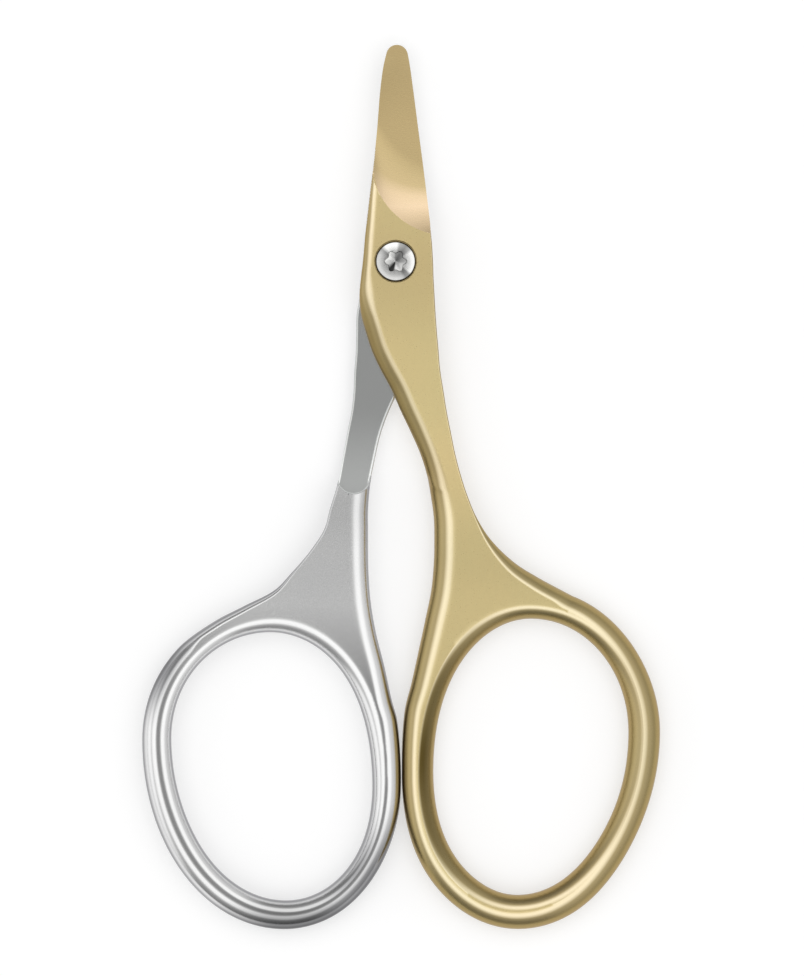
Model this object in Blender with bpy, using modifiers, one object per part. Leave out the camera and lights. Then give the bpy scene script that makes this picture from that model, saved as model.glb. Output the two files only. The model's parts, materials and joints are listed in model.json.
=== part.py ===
"""Baby nail scissors, lying closed and flat.

The pivot axis is vertical (Z), the blades point along +Y and the finger rings lie towards -Y.
Each half is one forging: blade, half-lap joint, shank and finger ring. The front half lies on top,
the rear half is made the same way and turned over about the Y axis, so that the two flat lap faces
meet at the middle plane and both rings lie side by side in one plane.

All sizes are in metres. A name that ends in shares holds parts of the sizes it is used with.
"""

import math
from dataclasses import dataclass

import bmesh
import bpy
from mathutils import Vector
from mathutils.geometry import delaunay_2d_cdt

# Blade and joint, alike on both halves
BLADE_LENGTH = 0.02203
TIP_RADIUS = 0.00110
TIP_OFFSET = 0.00014
REAR_BLADE_SETBACK = 0.00012
JOINT_WIDTH = 0.00764
BODY_THICKNESS = 0.0032
LAP_CLEARANCE = 0.00015

# Ground face of the blade
GRIND_SPINE_REACH = 0.00881
GRIND_EDGE_REACH = 0.00281
GRIND_RADIUS = 0.00802
SPINE_THICKNESS = 0.00100
TIP_THICKNESS = 0.00070
EDGE_THICKNESS = 0.00022
GRIND_RUN_OUT = 0.0070

# Shank and the rounding of its sides
SHANK_WIDTH = 0.0034
NECK_REACH = 0.0150
EDGE_ROUNDING = 0.00025
INNER_FLANK = 0.0011
SHANK_FLANK = 0.0019
FLANK_START_SHARE = 0.6
OUTER_FLANK = 0.0006
LAP_END_RADIUS = 0.00175
LAP_END_SHARE = 0.70
FRONT_LAP_REACH = 0.0235
REAR_LAP_REACH = 0.0236

# Finger rings
RING_END_REACH = 0.06789
FRONT_HOLE_WIDTH = 0.0196
FRONT_HOLE_HEIGHT = 0.0282
FRONT_RING_WALL = 0.00340
REAR_HOLE_WIDTH = 0.02026
REAR_HOLE_HEIGHT = 0.0271
REAR_RING_WALL = 0.00305
HOLE_FLANK_SHARE = 0.46
RING_CONTACT_OFFSET = 0.0006
RING_GAP = 0.0001

# Pivot screw, its washer and their seats
HEAD_DIAMETER = 0.0040
HEAD_THICKNESS = 0.00075
HEAD_CHAMFER = 0.00016
HEAD_PROUD = 0.00010
DRIVE_DIAMETER = 0.0022
DRIVE_DEPTH = 0.00050
DRIVE_LOBES = 6
DRIVE_LOBE_SHARE = 0.26
SCREW_DIAMETER = 0.0024
SCREW_END_CHAMFER = 0.0002
SCREW_END_RECESS = 0.00015
BORE_CLEARANCE = 0.00008
SEAT_CLEARANCE = 0.00015
WASHER_THICKNESS = 0.00030
WASHER_RIM = 0.00005
STACK_GAP = 0.00006

CUT_OVERRUN = 0.002
MERGE_DISTANCE = 0.000001

# Finish
SHARP_ANGLE = 28
GOLD_COLOUR = (0.60, 0.48, 0.24)
GOLD_ROUGHNESS = 0.32
STEEL_COLOUR = (0.62, 0.62, 0.61)
STEEL_ROUGHNESS = 0.28
SCREW_COLOUR = (0.75, 0.75, 0.74)
SCREW_ROUGHNESS = 0.2
WASHER_COLOUR = (0.03, 0.03, 0.03)
WASHER_ROUGHNESS = 0.5

# Places along the blade as shares of its length, and its two sides as shares of the joint width
FRONT_BLADE_SHARES = (
    (0.90, -0.163, 0.191), (0.80, -0.202, 0.231), (0.60, -0.249, 0.306), (0.46, -0.291, 0.359),
    (0.32, -0.341, 0.409), (0.14, -0.400, 0.469), (0.00, -0.437, 0.497))
REAR_BLADE_SHARES = (
    (0.90, -0.175, 0.147), (0.80, -0.215, 0.186), (0.60, -0.290, 0.233), (0.46, -0.343, 0.275),
    (0.32, -0.393, 0.325), (0.14, -0.453, 0.384), (0.00, -0.481, 0.421))

# Places below the pivot as shares of the joint width, and the joint's two sides
FRONT_JOINT_SHARES = ((0.20, -0.461, 0.503), (0.457, -0.482, 0.517), (0.70, -0.461, 0.531))
REAR_JOINT_SHARES = ((0.20, -0.475, 0.445), (0.457, -0.482, 0.478), (0.70, -0.461, 0.520))

# Places along the shank as shares of its length, its centre as a share of the way out to the hole's
# centre, and its width as a share of the way from the shank width to the joint width
FRONT_SHANK_SHARES = (
    (0.20, 0.043, 0.897), (0.25, 0.070, 0.797), (0.30, 0.1055, 0.634), (0.36, 0.160, 0.438),
    (0.42, 0.207, 0.294), (0.48, 0.260, 0.151), (0.54, 0.310, 0.033), (0.60, 0.355, 0.010),
    (0.66, 0.395, 0.085), (0.72, 0.439, 0.238))
REAR_SHANK_SHARES = (
    (0.20, 0.043, 0.844), (0.25, 0.0724, 0.691), (0.30, 0.114, 0.515), (0.35, 0.158, 0.283),
    (0.40, 0.2025, 0.113), (0.46, 0.2528, 0.021), (0.53, 0.297, -0.010), (0.60, 0.337, -0.010),
    (0.67, 0.377, 0.120), (0.72, 0.398, 0.245))

# Where the web widens into the ring: place along the shank and distance out to the hole's centre
FRONT_INNER_WEB_SHARES = (
    (0.78, 0.283), (0.84, 0.280), (0.92, 0.261), (1.00, 0.2186), (1.09, 0.168), (1.18, 0.116),
    (1.26, 0.0653))
FRONT_OUTER_WEB_SHARES = ((0.78, 0.701), (0.84, 0.877), (0.88, 1.0515))
REAR_INNER_WEB_SHARES = (
    (0.78, 0.2223), (0.84, 0.218), (0.92, 0.1994), (1.00, 0.158), (1.09, 0.0902), (1.18, 0.0316),
    (1.24, -0.015))
REAR_OUTER_WEB_SHARES = (
    (0.78, 0.689), (0.84, 0.842), (0.88, 0.980), (0.922, 1.229), (0.966, 1.470))

# Where an oval is widest and tallest, as shares of its height from the top and of its width
FRONT_HOLE_SHARES = {"top": 0.4957, "bottom": 0.4334, "outer": 0.413, "inner": 0.5504}
REAR_HOLE_SHARES = {"top": 0.517, "bottom": 0.4366, "outer": 0.4026, "inner": 0.5827}

# How finely the skin is divided
FLANK_SHARES = (0.0, 0.076, 0.293, 0.617, 1.0)
GRIND_ROW_SHARES = (0.0, 0.08, 0.18, 0.30, 0.44, 0.60, 0.80, 1.0)
ACROSS_SHARES = (0.0, 0.12, 0.25, 0.38, 0.50, 0.62, 0.75, 0.88, 1.0)
BLADE_ROWS = 7
SPLINE_STEPS = 3
RING_STATIONS = 38
WEB_STATIONS = 14
TIP_STATIONS = 10
ROUND_STEPS = 40
LAP_END_STEPS = 10
LOBE_STEPS = 8

# Angles on an oval in degrees, counted from the side away from the other half
INNER_JOIN_ANGLE = 180
FRONT_OUTER_JOIN_ANGLE = 72
REAR_OUTER_JOIN_ANGLE = 45
JOIN_LEAD_ANGLE = 15
TIP_START_ANGLE = 172
TIP_END_ANGLE = 8
TIP_LEAD_ANGLE = 20


@dataclass(frozen=True)
class Half:
    """Sizes and outline shares of one half of the scissors."""

    blade_length: float
    tip_radius: float
    tip_offset: float
    shank_length: float
    hole_width: float
    hole_height: float
    ring_wall: float
    contact: float
    lap_reach: float
    outer_join_angle: float
    hole_shares: dict
    blade_shares: tuple
    joint_shares: tuple
    shank_shares: tuple
    inner_web_shares: tuple
    outer_web_shares: tuple

    @property
    def hole_side(self):
        """Distance out to the side of the hole that is nearer the other half."""
        return self.contact + self.ring_wall

    @property
    def hole_centre(self):
        return self.hole_side + self.hole_width / 2

    @property
    def hole_flank(self):
        """How far the ring's rounding reaches in from the hole to its crest."""
        return self.ring_wall * HOLE_FLANK_SHARE

    @property
    def ring_flank(self):
        """How far the ring's rounding reaches in from the outside to its crest."""
        return self.ring_wall - self.hole_flank

    @property
    def ring_reach(self):
        """How far out the ring's far side lies."""
        return self.contact + self.ring_wall + self.hole_width + self.ring_wall


FRONT = Half(
    blade_length=BLADE_LENGTH, tip_radius=TIP_RADIUS, tip_offset=TIP_OFFSET,
    shank_length=RING_END_REACH - FRONT_RING_WALL - FRONT_HOLE_HEIGHT,
    hole_width=FRONT_HOLE_WIDTH, hole_height=FRONT_HOLE_HEIGHT,
    ring_wall=FRONT_RING_WALL, contact=RING_CONTACT_OFFSET + RING_GAP / 2,
    lap_reach=FRONT_LAP_REACH, outer_join_angle=FRONT_OUTER_JOIN_ANGLE,
    hole_shares=FRONT_HOLE_SHARES,
    blade_shares=FRONT_BLADE_SHARES, joint_shares=FRONT_JOINT_SHARES,
    shank_shares=FRONT_SHANK_SHARES, inner_web_shares=FRONT_INNER_WEB_SHARES,
    outer_web_shares=FRONT_OUTER_WEB_SHARES)

REAR = Half(
    blade_length=BLADE_LENGTH - REAR_BLADE_SETBACK, tip_radius=TIP_RADIUS - REAR_BLADE_SETBACK,
    tip_offset=-TIP_OFFSET,
    shank_length=RING_END_REACH - REAR_RING_WALL - REAR_HOLE_HEIGHT,
    hole_width=REAR_HOLE_WIDTH, hole_height=REAR_HOLE_HEIGHT,
    ring_wall=REAR_RING_WALL, contact=-RING_CONTACT_OFFSET + RING_GAP / 2,
    lap_reach=REAR_LAP_REACH, outer_join_angle=REAR_OUTER_JOIN_ANGLE,
    hole_shares=REAR_HOLE_SHARES,
    blade_shares=REAR_BLADE_SHARES, joint_shares=REAR_JOINT_SHARES,
    shank_shares=REAR_SHANK_SHARES, inner_web_shares=REAR_INNER_WEB_SHARES,
    outer_web_shares=REAR_OUTER_WEB_SHARES)


# Small helpers

def mix(low, high, share):
    """The value that lies this share of the way from low to high."""
    return low + (high - low) * share


def ease(value, start, end):
    """Rises smoothly from 0 at start to 1 at end."""
    share = min(max((value - start) / (end - start), 0.0), 1.0)
    return share * share * (3 - 2 * share)


def rounding(distance, width):
    """Height share of a rounded side at a distance in from its edge."""
    if distance < MERGE_DISTANCE:
        return 0.0
    share = min(distance / width, 1.0)
    return math.sqrt(1 - (1 - share) ** 2)


def even_shares(count):
    return [step / count for step in range(count + 1)]


def polar(centre, radius, degrees):
    """The point at an angle on a circle."""
    angle = math.radians(degrees)
    return Vector((centre.x + radius * math.cos(angle), centre.y + radius * math.sin(angle)))


def spline(knots):
    """A smooth path through all knots but the first and last, which only set its direction."""
    path = []
    for before, start, end, after in zip(knots, knots[1:], knots[2:], knots[3:]):
        first = math.sqrt((start - before).length)
        span = math.sqrt((end - start).length)
        last = math.sqrt((after - end).length)
        leave = end - start + span * ((start - before) / first - (end - before) / (first + span))
        arrive = end - start + span * ((after - end) / last - (after - start) / (span + last))
        cubic = 2 * (start - end) + leave + arrive
        square = 3 * (end - start) - 2 * leave - arrive
        for step in range(SPLINE_STEPS):
            share = step / SPLINE_STEPS
            path.append(((cubic * share + square) * share + leave) * share + start)
    path.append(knots[-2])
    return path


def split_at(path, y):
    """A falling path in two pieces that meet at height y."""
    for index, (upper, lower) in enumerate(zip(path, path[1:])):
        if upper.y > y >= lower.y:
            meeting = upper.lerp(lower, (upper.y - y) / (upper.y - lower.y))
            return path[:index + 1] + [meeting], [meeting] + path[index + 1:]
    raise ValueError("the path does not reach that height")


def with_point(path, y):
    """The same falling path with a point added at height y."""
    upper, lower = split_at(path, y)
    return upper + lower[1:]


def nearest(point, path):
    """Distance from a point to a path, and the height on the path where it is nearest."""
    best = (math.inf, 0.0)
    for start, end in zip(path, path[1:]):
        run = end - start
        share = min(max((point - start).dot(run) / run.length_squared, 0.0), 1.0)
        place = start + run * share
        distance = (point - place).length
        if distance < best[0]:
            best = (distance, place.y)
    return best


# Outline of a half whose ring lies at +X

def ring_point(half, degrees, distance):
    """The point at a distance out from the finger hole, square to the hole's oval."""
    angle = math.radians(degrees)
    across, upward = math.cos(angle), math.sin(angle)
    top = -half.shank_length
    centre_share = half.hole_shares["top" if upward >= 0 else "bottom"]
    middle_share = half.hole_shares["outer" if across >= 0 else "inner"]
    centre_x = half.hole_side + half.hole_width * centre_share
    centre_y = top - half.hole_height * middle_share
    reach_x = half.hole_width * (1 - centre_share if across >= 0 else centre_share)
    reach_y = half.hole_height * (middle_share if upward >= 0 else 1 - middle_share)
    outward = Vector((reach_y * across, reach_x * upward)).normalized()
    return Vector((centre_x + reach_x * across, centre_y + reach_y * upward)) + outward * distance


def tip_point(half, degrees, inset=0.0):
    """A point on the round tip of the blade, or a little inside it."""
    centre = Vector((half.tip_offset, half.blade_length - half.tip_radius))
    return polar(centre, half.tip_radius - inset, degrees)


def side_path(half, side):
    """One side from the tip to where the web meets the ring, -1 inward and +1 outward."""
    column = 1 if side < 0 else 2
    tip_angle = TIP_START_ANGLE if side < 0 else TIP_END_ANGLE
    knots = [tip_point(half, tip_angle + side * TIP_LEAD_ANGLE), tip_point(half, tip_angle)]
    for row in half.blade_shares:
        knots.append(Vector((row[column] * JOINT_WIDTH, row[0] * half.blade_length)))
    for row in half.joint_shares:
        knots.append(Vector((row[column] * JOINT_WIDTH, -row[0] * JOINT_WIDTH)))
    for along, centre, flare in half.shank_shares:
        x = centre * half.hole_centre + side * mix(SHANK_WIDTH, JOINT_WIDTH, flare) / 2
        knots.append(Vector((x, -along * half.shank_length)))
    for along, out in half.inner_web_shares if side < 0 else half.outer_web_shares:
        knots.append(Vector((out * half.hole_centre, -along * half.shank_length)))
    join = INNER_JOIN_ANGLE if side < 0 else half.outer_join_angle
    knots.append(ring_point(half, join, half.ring_wall))
    knots.append(ring_point(half, join - side * JOIN_LEAD_ANGLE, half.ring_wall))
    return spline(knots)


def free_angles(half):
    """Angles round the part of the ring that stands clear of the web."""
    turn = half.outer_join_angle + 360 - INNER_JOIN_ANGLE
    return [INNER_JOIN_ANGLE + turn * share for share in even_shares(RING_STATIONS)]


def web_angles(half):
    """Angles round the rest of the finger hole, where the web comes in."""
    turn = INNER_JOIN_ANGLE - half.outer_join_angle
    start = half.outer_join_angle + 360
    return [start + turn * share for share in even_shares(WEB_STATIONS)[1:-1]]


@dataclass
class Outline:
    """Paths of points along the borders of a half."""

    inner: list
    outer: list
    tip: list
    ring: list
    hole: list


def outline_of(half):
    tip = [tip_point(half, mix(TIP_END_ANGLE, TIP_START_ANGLE, share))
           for share in even_shares(TIP_STATIONS)]
    around = free_angles(half) + web_angles(half) + [INNER_JOIN_ANGLE + 360]
    return Outline(
        inner=with_point(side_path(half, -1), GRIND_SPINE_REACH),
        outer=with_point(side_path(half, 1), GRIND_EDGE_REACH), tip=tip,
        ring=[ring_point(half, angle, half.ring_wall) for angle in free_angles(half)],
        hole=[ring_point(half, angle, 0) for angle in around])


# Height of the upper skin over the middle plane

def inner_flank_width(half, y):
    """How far the rounding reaches in on the side towards the other half."""
    blade_end = GRIND_SPINE_REACH * FLANK_START_SHARE
    web_start = half.shank_length * half.shank_shares[-1][0]
    web_end = half.shank_length * half.inner_web_shares[-1][0]
    joint = mix(EDGE_ROUNDING, INNER_FLANK, ease(-y, -GRIND_SPINE_REACH, -blade_end))
    shank = mix(joint, SHANK_FLANK, ease(-y, JOINT_WIDTH / 2, half.lap_reach))
    return mix(shank, half.ring_flank, ease(-y, web_start, web_end))


def outer_flank_width(half, y):
    """How far the rounding reaches in on the side away from the other half."""
    web_start = half.shank_length * half.shank_shares[-1][0]
    web_end = half.shank_length * half.outer_web_shares[-1][0]
    joint = mix(EDGE_ROUNDING, OUTER_FLANK, ease(-y, -GRIND_EDGE_REACH, NECK_REACH))
    return mix(joint, half.ring_flank, ease(-y, web_start, web_end))


def edge_share(half, outline, point):
    """Share of its full height that the skin has at a point, 0 on the outline and 1 inside."""
    inner_distance, inner_y = nearest(point, outline.inner)
    outer_distance, outer_y = nearest(point, outline.outer)
    return min(
        rounding(inner_distance, inner_flank_width(half, inner_y)),
        rounding(outer_distance, outer_flank_width(half, outer_y)),
        rounding(nearest(point, outline.tip)[0], EDGE_ROUNDING),
        rounding(nearest(point, outline.ring)[0], half.ring_flank),
        rounding(nearest(point, outline.hole)[0], half.hole_flank))


@dataclass
class Grind:
    """The ground face of a blade, which begins along an arc across it."""

    inner: list
    outer: list
    centre: Vector

    def arc_height(self, x):
        """How far up the blade the arc lies at a place across it."""
        reach = min(abs(x - self.centre.x), GRIND_RADIUS)
        return self.centre.y - math.sqrt(GRIND_RADIUS ** 2 - reach ** 2)

    def across(self, point):
        """Share of the way from spine to edge."""
        left = split_at(self.inner, point.y)[0][-1].x
        right = split_at(self.outer, point.y)[0][-1].x
        return min(max((point.x - left) / (right - left), 0.0), 1.0)

    def height(self, half, point):
        """Thickness of the blade at a point, before its edges are rounded."""
        run = point.y - self.arc_height(point.x)
        if run <= MERGE_DISTANCE:
            return BODY_THICKNESS / 2
        top = half.blade_length - half.tip_radius
        place = Vector((point.x, min(point.y, top)))
        spine = mix(SPINE_THICKNESS, TIP_THICKNESS, ease(place.y, 0, top))
        thin = mix(spine, EDGE_THICKNESS, self.across(place))
        return mix(thin, BODY_THICKNESS / 2, max(1 - run / GRIND_RUN_OUT, 0.0) ** 2)


def grind_of(outline):
    left = split_at(outline.inner, GRIND_SPINE_REACH)[0][-1]
    right = split_at(outline.outer, GRIND_EDGE_REACH)[0][-1]
    chord = right - left
    rise = math.sqrt(GRIND_RADIUS ** 2 - (chord.length / 2) ** 2)
    centre = (left + right) / 2 + Vector((-chord.y, chord.x)).normalized() * rise
    return Grind(outline.inner, outline.outer, centre)


def grind_points(half, grind):
    """Points on the ground face: on copies of its arc up the blade, then on straight rows."""
    points = []
    for share in GRIND_ROW_SHARES:
        run = share * GRIND_RUN_OUT
        left = split_at(grind.inner, GRIND_SPINE_REACH + run)[0][-1].x + EDGE_ROUNDING
        right = split_at(grind.outer, GRIND_EDGE_REACH + run)[0][-1].x - EDGE_ROUNDING
        for over in ACROSS_SHARES:
            x = mix(left, right, over)
            points.append(Vector((x, grind.arc_height(x) + run)))
    low = GRIND_SPINE_REACH + GRIND_RUN_OUT
    high = half.blade_length - half.tip_radius
    for share in even_shares(BLADE_ROWS)[1:]:
        y = mix(low, high, share)
        left = split_at(grind.inner, min(y, high))[0][-1].x + EDGE_ROUNDING
        right = split_at(grind.outer, min(y, high))[0][-1].x - EDGE_ROUNDING
        points += [Vector((mix(left, right, over), y)) for over in ACROSS_SHARES[1:-1:2]]
    return points


# Skin of a half

def side_stations(half, path, side, lead):
    """Points down one side, each with the point on the crest of its rounding."""
    flank_width = inner_flank_width if side < 0 else outer_flank_width
    stations = []
    for before, point, after in zip([lead] + path, path, path[1:]):
        run = (after - before).normalized()
        inward = Vector((run.y, -run.x)) * side
        stations.append((point, point + inward * flank_width(half, point.y)))
    return stations


def stations_of(half, outline):
    """The whole outline in order, each point with the point on the crest of its rounding."""
    tip = [(tip_point(half, angle), tip_point(half, angle, EDGE_ROUNDING))
           for angle in (mix(TIP_END_ANGLE, TIP_START_ANGLE, share)
                         for share in even_shares(TIP_STATIONS)[1:-1])]
    ring = [(ring_point(half, angle, half.ring_wall), ring_point(half, angle, half.hole_flank))
            for angle in free_angles(half)]
    inner = side_stations(half, outline.inner, -1, tip[-1][0])
    outer = side_stations(half, outline.outer, 1, tip[0][0])
    return inner + ring + outer[::-1] + tip


class Sheet:
    """Points and the lines between them that a skin is filled from."""

    def __init__(self):
        self.points = []
        self.lines = []

    def add_band(self, stations):
        """Closed lines side by side from the edge to the crest, joined at every station."""
        count = len(stations)
        for level, share in enumerate(FLANK_SHARES):
            first = len(self.points)
            self.points += [edge.lerp(crest, share) for edge, crest in stations]
            self.lines += [(first + index, first + (index + 1) % count) for index in range(count)]
            if level:
                self.lines += [(first + index - count, first + index) for index in range(count)]

    def add_line(self, points):
        first = len(self.points)
        self.points += points
        self.lines += [(first + index, first + index + 1) for index in range(len(points) - 1)]


def half_skin(half):
    """The upper skin of a half, open at the middle plane."""
    outline = outline_of(half)
    grind = grind_of(outline)
    stations = stations_of(half, outline)
    hole = [(ring_point(half, angle, 0), ring_point(half, angle, half.hole_flank))
            for angle in free_angles(half) + web_angles(half)]
    sheet = Sheet()
    sheet.add_band(stations)
    hole_start = len(sheet.points)
    sheet.add_band(hole)
    borders = set(range(len(stations))) | set(range(hole_start, hole_start + len(hole)))
    left = split_at(outline.inner, GRIND_SPINE_REACH)[0][-1]
    right = split_at(outline.outer, GRIND_EDGE_REACH)[0][-1]
    arc_x = [mix(left.x, right.x, share) for share in ACROSS_SHARES[1:-1]]
    sheet.add_line([left] + [Vector((x, grind.arc_height(x))) for x in arc_x] + [right])
    borders |= {len(sheet.points) - len(ACROSS_SHARES), len(sheet.points) - 1}
    sheet.points += grind_points(half, grind)

    filled = delaunay_2d_cdt(sheet.points, sheet.lines, [], 1, MERGE_DISTANCE)
    points, faces, sources = filled[0], filled[2], filled[3]
    skin = bmesh.new()
    in_hole = []
    for point, source in zip(points, sources):
        height = 0.0
        if borders.isdisjoint(source):
            body = grind.height(half, point) if point.y > GRIND_EDGE_REACH else BODY_THICKNESS / 2
            height = body * edge_share(half, outline, point)
        in_hole.append(any(hole_start <= index < hole_start + len(hole) for index in source))
        skin.verts.new((point.x, point.y, height))
    skin.verts.ensure_lookup_table()
    for face in faces:
        if not all(in_hole[index] for index in face):
            skin.faces.new([skin.verts[index] for index in face])
    return skin


# Blender objects

def collection(name):
    made = bpy.data.collections.new(name)
    bpy.context.scene.collection.children.link(made)
    return made


def material(name, colour, roughness, metallic):
    made = bpy.data.materials.new(name)
    made.use_nodes = True
    shader = made.node_tree.nodes["Principled BSDF"]
    shader.inputs["Base Color"].default_value = (*colour, 1)
    shader.inputs["Roughness"].default_value = roughness
    shader.inputs["Metallic"].default_value = metallic
    return made


def add_object(mesh_maker, name, home, finish=None):
    """An object from a bmesh, linked to a collection."""
    mesh = bpy.data.meshes.new(name)
    mesh_maker.to_mesh(mesh)
    mesh_maker.free()
    made = bpy.data.objects.new(name, mesh)
    home.objects.link(made)
    if finish:
        mesh.materials.append(finish)
        mesh.shade_smooth()
        mesh.set_sharp_from_angle(angle=math.radians(SHARP_ANGLE))
    else:
        made.hide_render = True
        made.display_type = "WIRE"
    return made


def cut(target, cutter):
    """Takes the cutter's shape out of the target."""
    difference = target.modifiers.new(cutter.name, "BOOLEAN")
    difference.operation = "DIFFERENCE"
    difference.object = cutter


def round_cutter(name, diameter, low, high, home):
    """A cylinder on the pivot axis between two heights."""
    maker = bmesh.new()
    bmesh.ops.create_cone(maker, cap_ends=True, segments=ROUND_STEPS, radius1=diameter / 2,
                          radius2=diameter / 2, depth=high - low)
    bmesh.ops.translate(maker, verts=maker.verts, vec=(0, 0, (low + high) / 2))
    return add_object(maker, name, home)


def plate_cutter(name, points, low, high, home):
    """A flat outline filled and raised between two heights."""
    maker = bmesh.new()
    face = maker.faces.new([maker.verts.new((point.x, point.y, low)) for point in points])
    raised = bmesh.ops.extrude_face_region(maker, geom=[face])["geom"]
    lifted = [item for item in raised if isinstance(item, bmesh.types.BMVert)]
    bmesh.ops.translate(maker, verts=lifted, vec=(0, 0, high - low))
    bmesh.ops.recalc_face_normals(maker, faces=maker.faces)
    return add_object(maker, name, home)


def lap_cutter(half, name, home):
    """Takes the lower layer off blade and joint, down to a round end across the shank."""
    centre_y = -half.lap_reach + LAP_END_RADIUS
    edge_y = -half.lap_reach + LAP_END_RADIUS * LAP_END_SHARE
    inner = split_at(side_path(half, -1), edge_y)[0][-1]
    outer = split_at(side_path(half, 1), edge_y)[0][-1]
    centre = Vector(((inner.x + outer.x) / 2, centre_y))
    spread_angle = math.degrees(math.acos(1 - LAP_END_SHARE))
    points = [polar(centre, LAP_END_RADIUS, 270 + mix(-spread_angle, spread_angle, share))
              for share in even_shares(LAP_END_STEPS)]
    top = half.blade_length + CUT_OVERRUN
    points += [Vector((JOINT_WIDTH, edge_y)), Vector((JOINT_WIDTH, top)),
               Vector((-JOINT_WIDTH, top)), Vector((-JOINT_WIDTH, edge_y))]
    return plate_cutter(name, points, -BODY_THICKNESS, LAP_CLEARANCE / 2, home)


def build_half(half, name, finish, parts, cutters, cuts):
    """A half with its ring at +X and its blade above the middle plane."""
    made = add_object(half_skin(half), name, parts, finish)
    mirror = made.modifiers.new("Lower side", "MIRROR")
    mirror.use_axis = (False, False, True)
    mirror.merge_threshold = MERGE_DISTANCE
    cut(made, lap_cutter(half, name + "_lap_cutter", cutters))
    for cutter in cuts:
        cut(made, cutter)
    return made


def turned(name, profile, closed, parts, finish):
    """A round piece from its profile of radius and height, listed down its outer side."""
    maker = bmesh.new()
    verts = [maker.verts.new((radius, 0, height)) for radius, height in profile]
    for start, end in zip(verts, verts[1:]):
        maker.edges.new((start, end))
    if closed:
        maker.edges.new((verts[-1], verts[0]))
    made = add_object(maker, name, parts, finish)
    spin = made.modifiers.new("Turning", "SCREW")
    spin.steps = ROUND_STEPS
    spin.render_steps = ROUND_STEPS
    spin.use_merge_vertices = True
    spin.merge_threshold = MERGE_DISTANCE
    return made


def seat_floor():
    """Height of the seat's floor in the front half, over the middle plane."""
    return head_underside() - STACK_GAP - WASHER_THICKNESS - STACK_GAP


def head_underside():
    return BODY_THICKNESS / 2 + HEAD_PROUD - HEAD_THICKNESS


def build_screw(parts, cutters, finish):
    """Screw with a flat round head, a lobed drive recess and a plain stem."""
    top = BODY_THICKNESS / 2 + HEAD_PROUD
    end = SCREW_END_RECESS - BODY_THICKNESS / 2
    profile = (
        (0, top), (HEAD_DIAMETER / 2 - HEAD_CHAMFER, top), (HEAD_DIAMETER / 2, top - HEAD_CHAMFER),
        (HEAD_DIAMETER / 2, head_underside()), (SCREW_DIAMETER / 2, head_underside()),
        (SCREW_DIAMETER / 2, end + SCREW_END_CHAMFER),
        (SCREW_DIAMETER / 2 - SCREW_END_CHAMFER, end), (0, end))
    made = turned("pivot_screw", profile, False, parts, finish)
    count = DRIVE_LOBES * LOBE_STEPS
    points = []
    for share in even_shares(count)[:-1]:
        wave = (1 - math.cos(math.tau * DRIVE_LOBES * share)) / 2
        radius = DRIVE_DIAMETER / 2 * (1 - DRIVE_LOBE_SHARE * wave)
        points.append(polar(Vector((0, 0)), radius, 360 * share))
    cut(made, plate_cutter("drive_cutter", points, top - DRIVE_DEPTH, top + CUT_OVERRUN, cutters))
    return made


def build_washer(parts, finish):
    """Thin bearing washer under the screw's head."""
    top = head_underside() - STACK_GAP
    bottom = top - WASHER_THICKNESS
    outer = HEAD_DIAMETER / 2 + WASHER_RIM
    inner = SCREW_DIAMETER / 2 + BORE_CLEARANCE
    profile = ((outer, top), (outer, bottom), (inner, bottom), (inner, top))
    return turned("pivot_washer", profile, True, parts, finish)


def clear_scene():
    for old in list(bpy.data.objects):
        bpy.data.objects.remove(old, do_unlink=True)


def main():
    clear_scene()
    parts = collection("Baby nail scissors")
    cutters = collection("Cutters")
    gold = material("Gold satin coating", GOLD_COLOUR, GOLD_ROUGHNESS, 1)
    steel = material("Satin steel", STEEL_COLOUR, STEEL_ROUGHNESS, 1)
    bright = material("Bright screw steel", SCREW_COLOUR, SCREW_ROUGHNESS, 1)
    dark = material("Dark bearing plastic", WASHER_COLOUR, WASHER_ROUGHNESS, 0)

    pivot = bpy.data.objects.new("Pivot", None)
    parts.objects.link(pivot)
    pivot.location = ((REAR.ring_reach - FRONT.ring_reach) / 2, (RING_END_REACH - BLADE_LENGTH) / 2,
                      BODY_THICKNESS / 2)

    through = BODY_THICKNESS / 2 + CUT_OVERRUN
    bore = round_cutter("bore_cutter", SCREW_DIAMETER + 2 * BORE_CLEARANCE, -through, through, cutters)
    seat = round_cutter("seat_cutter", HEAD_DIAMETER + 2 * SEAT_CLEARANCE, seat_floor(), through, cutters)

    front = build_half(FRONT, "front_half", gold, parts, cutters, (bore, seat))
    rear = build_half(REAR, "rear_half", steel, parts, cutters, (bore,))
    screw = build_screw(parts, cutters, bright)
    washer = build_washer(parts, dark)
    for piece in list(parts.objects) + list(cutters.objects):
        if piece is not pivot:
            piece.parent = pivot
    rear.rotation_euler = (0, math.pi, 0)
    for cutter in cutters.objects:
        if cutter.name.startswith("rear_half"):
            cutter.rotation_euler = (0, math.pi, 0)


main()
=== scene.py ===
"""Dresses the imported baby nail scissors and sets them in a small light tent.

The two forged halves are skinned finely from the sizes of the CAD solids, with the polished flanks, the
hollow ground blade faces, the milled half lap and the seat of the pivot screw. Their rings follow the
photograph a little closer than the solids do. The screw and its washer are turned pieces. Lengths are in
millimetres in a half's own frame, whose origin is the pivot on the middle plane, with the finger ring at
+X and the blade layer above the middle plane.
"""

import json
import logging
import math
from dataclasses import dataclass
from enum import Enum
from functools import cached_property

import bmesh
import bpy
import numpy as np
from mathutils import Matrix, Vector
from mathutils.geometry import delaunay_2d_cdt


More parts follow.
